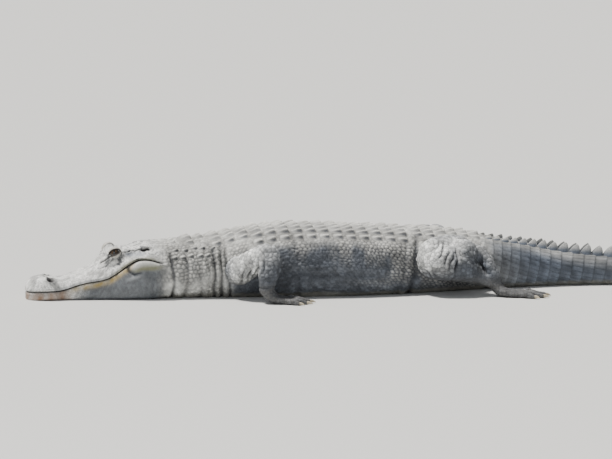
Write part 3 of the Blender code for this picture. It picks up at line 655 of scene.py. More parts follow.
def planted(name, shape, points, turns, sizes, material):
    """A piece made of copies of one shape, as a plain mesh."""
    mesh = bpy.data.meshes.new(name + "_points")
    mesh.from_pydata([tuple(p) for p in points], [], [])
    for label, values in (("turn", turns), ("size", sizes)):
        layer = mesh.attributes.new(label, "FLOAT_VECTOR", "POINT")
        layer.data.foreach_set("vector", np.array(values, np.float32).ravel())
    piece = bpy.data.objects.new(name, mesh)
    bpy.context.scene.collection.objects.link(piece)
    tree, shape_key, size_key = planting_tree(name + "_planting", material)
    step = piece.modifiers.new("planting", "NODES")
    step.node_group = tree
    step[shape_key] = shape
    step[size_key] = 1.0
    plain_mesh(piece)
    for label in ("turn", "size"):
        if label in piece.data.attributes:
            piece.data.attributes.remove(piece.data.attributes[label])
    piece.data.shade_smooth()
    bpy.data.objects.remove(shape)
    return piece


crest_points, crest_turns, crest_sizes = [], [], []
crest_draw = np.random.default_rng(19)
s = CREST_START
while s < CREST_END:
    pitch, grow, shrink = ring_pitch(s)
    tall = (0.010 + 0.020 * grow) * (1 - 0.62 * shrink)
    wide, high, power = half_width(s), height(s), 2 / squareness(s)
    apart = wide * (0.44 - 0.20 * np.clip((s - 0.6) / 0.4, 0, 1))
    for side in ((-1, 1) if s < CREST_MERGE else (0,)):
        middle, share = widest(s) * high, abs(side * apart) / wide
        up = middle + (high - middle) * math.cos(math.asin(share ** (1 / power))) ** power
        crest_points.append((*beside_spine(s, side * apart), up - 0.0015))
        lean = -side * 0.30 * (1 - 0.5 * grow) + 0.05 * (crest_draw.random() - 0.5)
        crest_turns.append((lean, 0.0, np.radians(heading(s)) + 0.06 * (crest_draw.random() - 0.5)))
        vary = 1 + 0.16 * (crest_draw.random() - 0.5)
        crest_sizes.append((pitch * 1.04, (0.0105 + 0.0015 * grow) * (1 - 0.4 * shrink), tall * 1.10 * vary))
    s += pitch
crest_horn = hide_material("crest_horn", 300.0, 0.0008, 0.60)
crest = planted("tail_crest", plate_shape(), crest_points, crest_turns, crest_sizes, crest_horn)
spots, feet = np.array([v.co[:] for v in crest.data.vertices]), np.array(crest_points)
owner = np.argmin(((spots[:, None, :2] - feet[None, :, :2]) ** 2).sum(axis=2), axis=1)
above = np.clip((spots[:, 2] - feet[owner, 2]) / np.array(crest_sizes)[owner, 2], 0, 1)
tones = TAIL * (0.95 + 0.3 * hash_of(owner.astype(float), 0 * above, 5))[:, None]
pale_tips = smooth(0.15, 0.75, above) * (0.92 - 0.40 * smooth(0.30, 1.10, feet[owner, 0]))
paint_vertices(crest, tinted(tones, PALE * 0.95, pale_tips))
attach(crest, "root")

# The head: dry skin tight on the skull, with raised rims round nostrils, eyes and ear flaps, the
# waved line of the mouth with its lips, and a soft jowl and throat behind it. One net from snout to nape.

# Behind the tip of the snout: half the head's width, the height of its top and of the mouth's line, and
# how much of the skull's form it has; then half outlines over and under that line, as shares of the sizes.
HEAD_LENGTH, HEAD_SCALE = 0.450, 0.962
HEAD_WIDTH = [(0.000, 0.015), (0.005, 0.029), (0.018, 0.045), (0.045, 0.060), (0.075, 0.066), (0.110, 0.064),
              (0.150, 0.068), (0.200, 0.076), (0.255, 0.088), (0.300, 0.099), (0.350, 0.108), (0.410, 0.114),
              (0.450, 0.122)]
HEAD_TOP = [(0.000, 0.042), (0.008, 0.056), (0.025, 0.067), (0.050, 0.072), (0.075, 0.068), (0.105, 0.064),
            (0.140, 0.069), (0.170, 0.078), (0.220, 0.098), (0.260, 0.119), (0.295, 0.137), (0.330, 0.149),
            (0.380, 0.158), (0.430, 0.166), (0.450, 0.168)]
MOUTH = [(0.000, 0.024), (0.026, 0.0265), (0.063, 0.0275), (0.100, 0.029), (0.125, 0.034), (0.151, 0.0425),
         (0.188, 0.0515), (0.225, 0.0575), (0.255, 0.066), (0.277, 0.079), (0.304, 0.098), (0.322, 0.110),
         (0.341, 0.119), (0.367, 0.122), (0.390, 0.119), (0.411, 0.113), (0.450, 0.105)]
CRANIUM = [(0.000, 0.0), (0.180, 0.0), (0.250, 0.6), (0.310, 1.0), (0.450, 1.0)]
SNOUT_HALF = [(0.0, 1.0), (0.36, 0.985), (0.64, 0.92), (0.85, 0.74), (0.97, 0.46), (1.0, 0.20), (0.975, 0.0)]
CRANIUM_HALF = [(0.0, 1.0), (0.30, 1.0), (0.56, 0.96), (0.64, 0.70), (0.84, 0.46), (0.98, 0.20), (1.0, 0.0)]
JAW_HALF = [(0.925, 1.0), (0.97, 0.70), (0.98, 0.42), (0.93, 0.16), (0.76, 0.0)]
CHEEK_HALF = [(0.985, 1.0), (1.06, 0.78), (1.07, 0.50), (1.02, 0.22), (0.82, 0.0)]
EYE, EYE_RADIUS = (0.2790, 0.0610, 0.1405), 0.0175
BROW, NOSTRIL = (0.284, 0.051, 0.126), (0.070, 0.022, 0.062)
EAR_FRONT, EAR_REAR = (0.314, 0.073, 0.1455), (0.386, 0.079, 0.1515)
# what pushes the skin out: place, half sizes and how softly
BULGES = ((BROW, (0.056, 0.031, 0.0290), 0.010), (NOSTRIL, (0.020, 0.015, 0.0135), 0.004),
          (EYE, (EYE_RADIUS + 0.0012,) * 3, 0.003))
NECK_MIDDLE, SWELL_MIDDLE, LIP_GAP, HEAD_STEP, BROW_PASSES = 0.085, 0.105, 0.0008, 0.0018, 90
# columns of the net between the corners of a section, and which corners are the lips
SPANS, LIP_CORNERS = (12, 10, 9, 9, 8, 8, 4, 8, 9, 8, 7, 10), [6, 7]
head_width, head_top, mouth, cranium = track(HEAD_WIDTH), track(HEAD_TOP), track(MOUTH), track(CRANIUM)
head_root = np.array((*beside_spine(NECK_START, 0.0), 0.0))
head_turn = math.radians(float(heading(NECK_START)))
tailward = np.array((math.cos(head_turn), math.sin(head_turn), 0.0))
leftward = np.array((math.sin(head_turn), -math.cos(head_turn), 0.0))
upward = np.array((0.0, 0.0, 1.0))


def head_point(s, across, up):
    """Points of the head from distance behind the snout tip, distance to the left, and height."""
    s, across, up = np.broadcast_arrays(np.asarray(s, float), across, up)
    behind = (s - HEAD_LENGTH)[..., None] * HEAD_SCALE
    return head_root + tailward * behind + leftward * across[..., None] + upward * up[..., None]


def neck_reach(angle):
    """How far the neck's outline lies from its middle, in a direction round it."""
    across, up = section(NECK_START, np.linspace(0, np.pi, 181))
    ring = np.arctan2(up - NECK_MIDDLE, across)
    return np.interp(-angle, -ring, np.hypot(across, up - NECK_MIDDLE))


def head_outline(s):
    """The corner points of half a section of the head, from the top over the lips to the throat."""
    share, wide = cranium(s), head_width(s)
    upper_lip, lower_lip = mouth(s) + LIP_GAP, mouth(s) - LIP_GAP
    points = [((a + (c - a) * share) * wide, upper_lip + (b + (d - b) * share) * (head_top(s) - upper_lip))
              for (a, b), (c, d) in zip(SNOUT_HALF, CRANIUM_HALF)]
    points += [((a + (c - a) * share) * wide, b * lower_lip) for (a, b), (c, _) in zip(JAW_HALF, CHEEK_HALF)]
    points.append((0.0, 0.0))
    blend = smooth(0.350, HEAD_LENGTH, s)
    done = []
    for a, z in points:
        angle, reach = np.arctan2(z - NECK_MIDDLE, a), np.hypot(a, z - NECK_MIDDLE)
        reach = reach + (neck_reach(angle) - reach) * blend
        done.append((reach * np.cos(angle), np.maximum(NECK_MIDDLE + reach * np.sin(angle), 0.0)))
    for corner, lip in zip(LIP_CORNERS, (upper_lip, lower_lip)):
        done[corner] = (done[corner][0], lip)
    return np.array(done)


def swell_to(a, z, centre, size, share, soft):
    """Pushes a section out to an ellipse beside the midline, softly where the two meet."""
    from_z = z - SWELL_MIDDLE
    reach = np.hypot(a, from_z)
    ua, uz = a / reach, from_z / reach
    ca, cz = centre[0], centre[1] - SWELL_MIDDLE
    ra, rz = np.maximum(size[0] * share, 1e-5), np.maximum(size[1] * share, 1e-5)
    qa = (ua / ra) ** 2 + (uz / rz) ** 2
    qb = ua * ca / ra ** 2 + uz * cz / rz ** 2
    root = qb ** 2 - qa * ((ca / ra) ** 2 + (cz / rz) ** 2 - 1)
    far = np.where((root > 0) & (share > 0.02), (qb + np.sqrt(np.maximum(root, 0))) / qa, 0.0)
    h = np.clip(0.5 + 0.5 * (far - reach) / soft, 0, 1)
    pushed = reach * (1 - h) + far * h + soft * h * (1 - h) * (far > 0)
    return ua * pushed, SWELL_MIDDLE + uz * pushed


def eased_brow(sheet, melt):
    """Melts the brow into the snout in front of it and the skull table behind, where melt says so."""
    for _ in range(BROW_PASSES):
        along, across = sheet[:-2, 1:-1] + sheet[2:, 1:-1], sheet[1:-1, :-2] + sheet[1:-1, 2:]
        sheet[1:-1, 1:-1] += (along * 0.42 + across * 0.08 - sheet[1:-1, 1:-1]) * melt[1:-1, 1:-1] * 0.8


def both_sides(half, sign):
    """Half a net's values, repeated for the other side of the midline."""
    return np.concatenate([sign * half[:, ::-1], half[:, 1:]], axis=1)


middle_rows = np.arange(0.005, HEAD_LENGTH - 0.0005, HEAD_STEP)
head_s = np.concatenate([[0.0, 0.0012, 0.003], middle_rows, [HEAD_LENGTH]])
corners = np.array([head_outline(s) for s in head_s])
ways = np.zeros_like(corners)
ways[:, 1:-1] = (corners[:, 2:] - corners[:, :-2]) / 2
ways[:, 0, 0] = corners[:, 1, 0] - corners[:, 0, 0]
ways[:, -1] = corners[:, -1] - corners[:, -2]
ways[:, LIP_CORNERS] *= 0.25
parts = []
for k, count in enumerate(SPANS):
    t = np.linspace(0, 1, count, endpoint=False)[None, :, None]
    parts.append(curve_between(*(v[:, n, None] for v in (corners, ways) for n in (k, k + 1)), t))
half = np.maximum(np.concatenate(parts + [corners[:, -1:]], axis=1), 0.0)
a, z = half[..., 0], half[..., 1]
column_s = np.repeat(head_s[:, None], half.shape[1], axis=1)
above_mouth = z - mouth(column_s)
upper = smooth(0.003, 0.018, above_mouth)
for centre, size, soft in BULGES:
    share = np.sqrt(np.clip(1 - ((column_s - centre[0]) / size[0]) ** 2, 0, 1))
    a2, z2 = swell_to(np.maximum(a, 1e-4), z, centre[1:], size[1:], share, soft)
    a, z = a + (a2 - a) * upper, z + (z2 - z) * upper
    if centre is BROW:
        melt = window(column_s, 0.205, 0.225, 0.345, 0.365) * smooth(0.020, 0.034, z - mouth(column_s))
        eased_brow(a, melt)
        eased_brow(z, melt)
run = np.cumsum(np.hypot(np.diff(a, axis=1), np.diff(z, axis=1)), axis=1)
arc = np.concatenate([np.zeros((len(head_s), 1)), run], axis=1)
both_a, both_z, both_arc = both_sides(a, -1), both_sides(z, 1), both_sides(arc, -1)
grid_s = np.repeat(head_s[:, None], both_a.shape[1], axis=1)

# furrows of the skin by the eye: from, to, depth
FURROWS = (((0.2600, 0.1310), (0.2340, 0.1090), 1.0), ((0.2640, 0.1180), (0.2480, 0.1100), 0.5),
           ((0.2960, 0.1440), (0.3120, 0.1440), 0.7), ((0.2500, 0.1020), (0.2300, 0.0930), 0.4),
           ((0.2860, 0.1130), (0.2700, 0.1050), 0.4))
BONE_TONE, OLIVE_SHADE, OCHRE = (0.76, 0.76, 0.735), np.array((0.225, 0.225, 0.165)), (0.47, 0.345, 0.125)
THROAT_SHADE_TONE, CHIN_TONE, LOBE_LIT_TONE = (0.108, 0.119, 0.132), (0.27, 0.175, 0.120), (0.62, 0.62, 0.585)
LIP_SHADE, EAR_SHADE, WATTLE_HIGHLIGHT = (0.36, 0.38, 0.40), (0.36, 0.38, 0.41), (0.50, 0.52, 0.54)
NOSE_SHADE, PIT_BLACK = (0.055, 0.055, 0.055), (0.016, 0.015, 0.015)


def tight_skin(s, arc, above, z):
    """Small plates and cracks over the bone, larger and rounder toward jowl and nape."""
    b, m, r = scales(s / 0.0080 + 0.7 * noise(s * 40, arc * 40, 5), arc / 0.0075, 0.75, 101)
    b2, m2, r2 = scales(s / 0.0125, arc / 0.0105 + 0.4 * noise(s * 30, arc * 30, 7), 0.55, 131)
    big = np.maximum(smooth(0.330, 0.400, s) * smooth(0.130, 0.110, z), smooth(0.415, 0.445, s))
    hills = noise(s * 75, arc * 75, 111) * 0.6 + noise(s * 150, arc * 150, 113) * 0.5
    rough = smooth(0.200, 0.255, s) * smooth(0.010, 0.022, above)
    lift = dome(b, m, 0.15) * (0.00045 + 0.0009 * rough * r) * (1 - big) + dome(b2, m2) * 0.0019 * big
    lift += (0.0005 + 0.0011 * rough) * hills * (1 - big) * (above > 0.004)
    groove = np.exp(-b / 0.07) * (1 - big) + np.exp(-b2 / 0.10) * big
    return lift, groove, r * (1 - big) + r2 * big, hills, rough


def lips(s, above, out):
    """The line of the mouth, its lips, the waves over the teeth and the gutter above them."""
    line = bell(above, 0.0017 + 0.0012 * smooth(0.27, 0.32, s))
    line *= smooth(0.430, 0.410, s) * smooth(0.5, 0.8, out)
    gutter = bell(above - 0.006, 0.0062) * window(s, 0.235, 0.300, 0.380, 0.425)
    waves = 0.0010 * np.sin(s * 330 + 1.5 * np.sin(s * 40)) * window(s, 0.02, 0.05, 0.30, 0.36)
    lift = (0.0016 + waves) * bell(above - 0.0075, 0.0050) + 0.0010 * bell(above + 0.0070, 0.0045)
    return lift * smooth(0.42, 0.36, s) - 0.0062 * line - 0.0030 * gutter, line, gutter


def skull(s, side, out, above, share_of_top):
    """Ridges from the eyes to the nose, the hollow between them and the rim of the skull table."""
    lift = 0.0030 * bell(out - 0.52, 0.16) * window(s, 0.110, 0.170, 0.225, 0.270)
    lift -= 0.0022 * bell(side, 0.018) * window(s, 0.140, 0.180, 0.270, 0.330)
    rim = bell(side - 0.060, 0.009) * window(s, 0.315, 0.340, 0.415, 0.435) * smooth(0.9, 0.97, share_of_top)
    return lift * (above > 0.01) + 0.0028 * rim


def ear(s, side, z):
    """A long slit closed by a flap under the rim of the skull table: relief, slit, and shade below."""
    past = (s - EAR_FRONT[0]) / (EAR_REAR[0] - EAR_FRONT[0])
    along = np.clip(past, 0, 1)
    off = z - (EAR_FRONT[2] + (EAR_REAR[2] - EAR_FRONT[2]) * along)
    there = window(s, 0.306, 0.314, 0.384, 0.396) * (side > 0.045)
    gape = 0.0012 + 0.0030 * window(past, 0.50, 0.90, 0.98, 1.14)
    slit = np.exp(-(np.abs(off + 0.0010 * np.sin(s * 260)) / gape) ** 2.5) * there
    lift = 0.0026 * bell(off - 0.0075 - 0.002 * along, 0.0045) + 0.0010 * bell(off + 0.0050, 0.0030)
    return lift * there - 0.0075 * slit, slit, bell(off + 0.0085, 0.0060) * smooth(1.0, 0.6, along) * there


def nostril(s, side, above, z):
    """A pit that opens upward and out on the raised disc of the nose: relief, pit, and shade round it."""
    away = np.hypot((s - 0.0715 + 0.5 * (z - 0.061)) / 1.55, (z - 0.0612) * 1.15)
    outer = smooth(0.026, 0.033, side) * (above > 0.012)
    pit = np.exp(-(away / 0.0048) ** 3) * outer
    lift = 0.0026 * bell(away - 0.0090, 0.0030) * outer - 0.0080 * pit
    return lift, pit, smooth(0.0110, 0.0060, away) * outer


def jowl_skin(s, side, above, z):
    """The lobe of the jowl, the hollow of the cheek, and the folds behind the jaw."""
    lobe_z = 0.0960 + 0.012 * smooth(0.325, 0.365, s)
    lobe = (np.abs(s - 0.378) / 0.056) ** 2.4 + (np.abs(z - lobe_z) / 0.0185) ** 2.4
    outer = side > 0.05
    bulge = smooth(1.20, 0.35, lobe) * outer * smooth(0.0015, -0.0045, above)
    crease = bell(lobe - 1.35, 0.30) * outer * smooth(0.40, 0.36, s) * smooth(0.000, -0.005, above)
    wattle = bell(s - 0.335, 0.020) * bell(z - 0.071 - 0.4 * (s - 0.335), 0.0060) * (side > 0.04)
    lift = 0.0115 * bulge ** 0.7 - 0.0050 * crease + 0.0035 * wattle
    lift -= 0.0045 * bell(s - 0.345, 0.035) * bell(z - 0.134, 0.012) * outer
    behind = smooth(0.055, 0.09, side) * smooth(0.155, 0.135, z)
    for place, depth, thin in ((0.4480, 0.0060, 0.0050), (0.4250, 0.0016, 0.0035)):
        lift -= depth * bell(s - place + 0.10 * (0.1 - z), thin) * behind
    corner = bell(above + 0.5 * (s - 0.400) + 0.002, 0.0030) * window(s, 0.39, 0.41, 0.43, 0.445)
    lift -= 0.0020 * corner * outer
    return lift, bulge, crease, wattle, smooth(lobe_z + 0.004, lobe_z - 0.012, z)


def eye_folds(s, side, z):
    """The ring of small folds round the eye and the furrows before and behind it: relief, furrow, ring."""
    ring = np.hypot((s - EYE[0] + 0.002) / 1.15, z - EYE[2] + 0.001)
    orbit = smooth(0.034, 0.028, ring) * (side > 0.045)
    furrow = np.zeros_like(s)
    for (s0, z0), (s1, z1), depth in FURROWS:
        t = np.clip(((s - s0) * (s1 - s0) + (z - z0) * (z1 - z0)) / ((s1 - s0) ** 2 + (z1 - z0) ** 2), 0, 1)
        away = np.hypot(s - s0 - t * (s1 - s0), z - z0 - t * (z1 - z0))
        furrow = np.maximum(furrow, bell(away, 0.0026 * (1 - 0.45 * t)) * (side > 0.042) * depth)
    lift = 0.0008 * np.cos(ring * 1500) * orbit * smooth(0.017, 0.021, ring) - 0.0042 * furrow
    return lift, furrow, smooth(0.027, 0.019, ring) * (side > 0.045)


def dress_head(s, a, z, arc):
    """How far the skin of the head rises at each point, and its colour."""
    above, side = z - mouth(s), np.abs(a)
    out = side / head_width(s)
    skin, groove, tone, hills, rough = tight_skin(s, arc, above, z)
    lip, line, gutter = lips(s, above, out)
    flap, slit, under_ear = ear(s, side, z)
    nose, pit, nose_shade = nostril(s, side, above, z)
    cheek, lobe, crease, wattle, lobe_shaded_low = jowl_skin(s, side, above, z)
    orbit, furrow, lid_shade = eye_folds(s, side, z)
    lift = skin + lip + skull(s, side, out, above, z / head_top(s)) + flap + nose + cheek + orbit
    lift += 0.0012 * noise(s * 26, arc * 26, 9) * smooth(0.2, 0.35, s)

    # pale dry top with dark mottling, pits and cracks
    mottling = smooth(0.05, 0.50, noise(s * 46, arc * 46, 15) + 0.5 * noise(s * 110, arc * 110, 17))
    pits = smooth(0.24, 0.50, noise(s * 190, arc * 190, 19) * 0.8 + 0.45 * noise(s * 90, arc * 90, 27))
    colour = np.array(BONE_TONE) * ((0.84 + 0.26 * tone + 0.10 * hills) * (1 - 0.36 * mottling))[..., None]
    colour = tinted(colour, DARK * 1.8, 0.70 * pits * (0.30 + 0.70 * rough))
    colour = tinted(colour, DARK * 1.6, 0.72 * groove)
    # the upper lip's edge in painted shade, a throat dark with painted shade, the gutter olive with painted
    # shade, the ochre lower lip and the brown chin
    upper_lip_shade = window(above, -0.004, 0.001, 0.003, 0.012) * window(s, 0.05, 0.12, 0.24, 0.30)
    colour = tinted(colour, LIP_SHADE, upper_lip_shade * 0.75)
    throat = smooth(-0.004, -0.020, above) * smooth(0.12, 0.20, s)
    # painted shade: the throat under the jaw is made dark
    colour = tinted(colour, THROAT_SHADE_TONE * (0.80 + 0.4 * tone[..., None]), throat * 0.92)
    # painted shade in the gutter above the lip, with an olive tint
    colour = tinted(colour, OLIVE_SHADE, gutter * 0.80)
    ochre = bell(above + 0.0095, 0.0080) * window(s, 0.11, 0.16, 0.320, 0.345)
    colour = tinted(colour, OCHRE, np.clip(ochre * (0.75 + 0.5 * noise(s * 60, arc * 60, 33)) * 0.95, 0, 1))
    chin = smooth(0.002, -0.006, above) * smooth(0.17, 0.10, s) * (0.72 + 0.5 * noise(s * 55, arc * 55, 37))
    colour = tinted(colour, CHIN_TONE, np.clip(chin * 0.85, 0, 1))
    # the jowl, pale with painted light above and olive with painted shade below, its crease in painted shade,
    # a painted highlight on the small fold under it, and painted shade in the mouth's line and in each slit,
    # pit and furrow
    # painted light on the top of the jowl and painted shade on its lower half
    lobe_tone = np.array(LOBE_LIT_TONE) + (OLIVE_SHADE - LOBE_LIT_TONE[0]) * lobe_shaded_low[..., None]
    for target, share in ((lobe_tone, lobe * 0.9), (DARK * 1.5, crease * 0.7), (WATTLE_HIGHLIGHT, wattle * 0.7),
                          (NOSE_SHADE, nose_shade * 0.9), (EAR_SHADE, under_ear * 0.8),
                          (PIT_BLACK, np.clip(line * 1.1 + slit * 1.15 + pit * 1.3 + furrow * 0.95, 0, 1))):
        colour = tinted(colour, target, share)
    colour = colour * (1 - 0.45 * lid_shade[..., None])
    # the hide of the neck takes over at the nape
    neck_lift, neck_colour = dress(NECK_START + (s - HEAD_LENGTH) * HEAD_SCALE, arc, z)
    lift = lift + (neck_lift - lift) * smooth(0.412, HEAD_LENGTH, s)
    return lift, np.clip(tinted(colour, neck_colour, smooth(0.395, HEAD_LENGTH - 0.004, s)), 0.01, 1)


def gaze(side):
    """The way an eye looks: out to its side, a little ahead and up."""
    look = leftward * side * 0.93 - tailward * 0.30 + upward * 0.22
    return look / np.linalg.norm(look)


lift, head_colours = dress_head(grid_s, both_a, both_z, both_arc)
head_net = head_point(grid_s, both_a, both_z)
head_skin = head_net + net_normals(head_net) * lift[..., None]
eyes = [(label, side, head_point(EYE[0], side * EYE[1], EYE[2]))
        for label, side in (("left", 1), ("right", -1))]
for _, side, centre in eyes:
    # the socket: the skin over the eye is drawn in behind the front of the ball
    offset = head_skin - centre
    away = np.maximum(np.linalg.norm(offset, axis=2), 1e-6)
    inside = smooth(0.52, 0.72, offset @ gaze(side) / away) * (away < 0.032)
    head_skin = centre + offset * (1 - inside * np.clip(1 - EYE_RADIUS * 0.80 / away, 0, 1))[..., None]
head_skin[..., 2] = np.maximum(head_skin[..., 2], 0.0)
head_piece = net_piece("skin_head", head_skin, head_colours)
head_hide = hide_material("head_hide", 520.0, 0.0007, 0.58)
head_piece.data.materials.append(head_hide)
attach(head_piece, "root")
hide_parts("head", "lower_jaw")

# The lids: a thick fold of wrinkled skin over each eyeball, open along a slanted almond.
# Each is a shell on the ball, with a rounded margin that rests on the wet eye.
LID_REACH, LID_TONE, RIM_TONE = np.radians(100), np.array((0.52, 0.505, 0.46)), (0.030, 0.024, 0.022)
LID_THICK, MARGIN_SHARE, OPEN_ABOVE, OPEN_BELOW, OPEN_LONG = 0.0027, 0.08, 0.46, 0.36, 0.93


def across_gaze(look, way):
    """The direction nearest to a way that lies square to the gaze."""
    level = way - look * way.dot(look)
    return level / np.linalg.norm(level)


def round_gaze(look, level, up, away, around):
    """Directions from an eye's middle: an angle away from its gaze, and an angle round that."""
    return (look * np.cos(away)[..., None] + level * (np.sin(away) * np.cos(around))[..., None]
            + up * (np.sin(away) * np.sin(around))[..., None])


def lid_shell(name, centre, side):
    """Both lids of an eye as one shell, open in the middle."""
    look = gaze(side)
    slant = across_gaze(look, tailward + upward * 0.36)
    up = np.cross(slant, look)
    up = up if up[2] > 0 else -up
    steps = np.concatenate([np.linspace(0, MARGIN_SHARE, 6)[:-1], np.linspace(MARGIN_SHARE, 1, 30)])
    t, around = np.meshgrid(steps, np.linspace(0, 2 * np.pi, 97), indexing="ij")
    ca, sa = np.cos(around), np.sin(around)
    edge = 1 / np.sqrt((ca / OPEN_LONG) ** 2 + (sa / np.where(sa > 0, OPEN_ABOVE, OPEN_BELOW)) ** 2)
    edge = edge * (1 - 0.05 * np.cos(2 * around) + 0.06 * np.abs(ca) ** 6)
    start = np.arcsin(np.clip(edge, 0, 0.97))
    angle = start + (LID_REACH - start) * t
    margin = np.clip(t / MARGIN_SHARE, 0, 1)
    radius = EYE_RADIUS + 0.0002 + LID_THICK * np.sqrt(1 - (1 - margin) ** 2)
    radius = radius + 0.00035 * np.cos((angle - start) * 34) * window(t, 0.1, 0.25, 0.7, 1.0)
    radius = radius + 0.0010 * bell(angle - start - 0.20, 0.10) * (sa > -0.2)
    draw = hash_of(np.floor(angle * 20), np.floor(around * 9), 3)
    corner = 0.16 + 0.22 * np.abs(ca) ** 4
    tone = tinted(LID_TONE * (0.85 + 0.2 * draw[..., None]), RIM_TONE, smooth(corner, corner * 0.35, t))
    return net_piece(name, centre + round_gaze(look, slant, up, angle, around) * radius[..., None], tone,
                     ends=(False, True))


for label, side, centre in eyes:
    lid = lid_shell("lids_" + label, centre, side)
    lid.data.materials.append(head_hide)
    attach(lid, "root")

# The eyes: wet balls with a dark brown iris, flecked with gold toward a narrow upright slit.
# Each is a whole ball set in its socket, and the lids hold it there.
IRIS_ANGLE, SLIT_WIDTH, SLIT_HALF = 0.86, 0.17, 0.62
IRIS_TONE, BALL_TONE = np.array((0.050, 0.029, 0.013)), np.array((0.035, 0.026, 0.020))
wet = bpy.data.materials.new("wet_eye")
wet.use_nodes = True
wet_shader = wet.node_tree.nodes["Principled BSDF"]
wet_shader.inputs["Roughness"].default_value = 0.07
wet_shader.inputs["Coat Weight"].default_value = 0.35
wet_shader.inputs["Coat Roughness"].default_value = 0.03
wet_marks = wet.node_tree.nodes.new("ShaderNodeAttribute")
wet_marks.attribute_name = "hide"
wet.node_tree.links.new(wet_marks.outputs["Color"], wet_shader.inputs["Base Color"])
rows, columns = np.linspace(0.002, np.pi - 0.002, 90), np.linspace(0, 2 * np.pi, 97)
away, around = np.meshgrid(rows, columns, indexing="ij")
flat_x, flat_y = away * np.cos(around), away * np.sin(around)
streak = 0.5 + 0.5 * noise(around * 14, away * 5, 3)
shine = (0.30 + 1.2 * streak) * (1 - 0.75 * smooth(0.40, IRIS_ANGLE, away))
shine *= 0.45 + 1.1 * smooth(0.35, -0.45, flat_y + 0.4 * flat_x)
slit_reach = SLIT_WIDTH * np.sqrt(np.clip(1 - (flat_y / SLIT_HALF) ** 2, 0.001, 1))
shine *= 1 - 0.97 * smooth(1.15, 0.85, np.abs(flat_x) / slit_reach)
iris = IRIS_TONE * shine[..., None]
ball_colours = tinted(iris, BALL_TONE, smooth(IRIS_ANGLE - 0.05, IRIS_ANGLE + 0.03, away))
for label, side, centre in eyes:
    look = gaze(side)
    level = across_gaze(look, tailward)
    ball = centre + round_gaze(look, level, np.cross(level, look), away, around) * EYE_RADIUS
    eye_piece = net_piece("eyeball_" + label, ball, ball_colours)
    eye_piece.data.materials.append(wet)
    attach(eye_piece, "root")
    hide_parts("eye_" + label)

# The legs and feet: loose skin over muscle, with round scales, deep folds at the joints, and toes
# flat on the floor, webbed behind. Tubes along each limb are fused into one skin, then scaled.
UPPER_ARM = [((-0.245, -0.108, 0.086), 0.042, 0.044), ((-0.231, -0.168, 0.090), 0.040, 0.042),
             ((-0.199, -0.206, 0.123), 0.037, 0.038), ((-0.163, -0.230, 0.145), 0.032, 0.034)]
FOREARM = [((-0.157, -0.233, 0.145), 0.032, 0.034), ((-0.156, -0.249, 0.112), 0.034, 0.035),
           ((-0.163, -0.260, 0.076), 0.028, 0.030), ((-0.169, -0.265, 0.042), 0.022, 0.024)]
THIGH = [((0.462, -0.090, 0.108), 0.064, 0.066), ((0.412, -0.142, 0.114), 0.062, 0.066),
         ((0.370, -0.188, 0.114), 0.053, 0.062)]
SHANK = [((0.376, -0.205, 0.106), 0.046, 0.054), ((0.438, -0.212, 0.098), 0.044, 0.054),
         ((0.500, -0.205, 0.068), 0.032, 0.034), ((0.552, -0.238, 0.051), 0.020, 0.023)]
CALF = [((0.436, -0.150, 0.108), 0.046, 0.060), ((0.466, -0.206, 0.116), 0.043, 0.060)]
HEEL_CORD = [((0.478, -0.176, 0.136), 0.028, 0.026), ((0.512, -0.204, 0.132), 0.019, 0.021),
             ((0.532, -0.222, 0.104), 0.020, 0.022), ((0.545, -0.232, 0.074), 0.019, 0.021),
             ((0.553, -0.238, 0.050), 0.018, 0.020)]
HOLLOW = [((0.480, -0.170, 0.105), 0.030, 0.040), ((0.515, -0.198, 0.092), 0.014, 0.034),
          ((0.536, -0.215, 0.066), 0.012, 0.020)]
# feet: way out, palm's length, width and thickness, and each toe's way out and length
FORE_FOOT = {"turn": 5, "palm": (0.056, 0.034, 0.013), "thick": 0.0085, "webbed": False,
             "toes": ((34, 0.050), (17, 0.070), (0, 0.079), (-17, 0.068), (-36, 0.051))}
HIND_FOOT = {"turn": 18, "palm": (0.070, 0.036, 0.014), "thick": 0.0095, "webbed": True,
             "toes": ((22, 0.066), (7, 0.088), (-8, 0.092), (-24, 0.074))}
# a palm: share of its length, of its width and of its thickness, and height; a toe: share of its length
# and of its thickness, and height in its own thickness there
PALM = ((0.35, 0.90, 1.05, 0.013), (0.80, 0.98, 0.85, 0.009), (1.02, 0.80, 0.50, 0.006))
TOE = ((-0.25, 1.0, 0.75), (0.10, 1.05, 0.95), (0.38, 0.86, 1.20), (0.52, 1.0, 1.25), (0.74, 0.84, 1.0),
       (0.96, 0.62, 0.95))
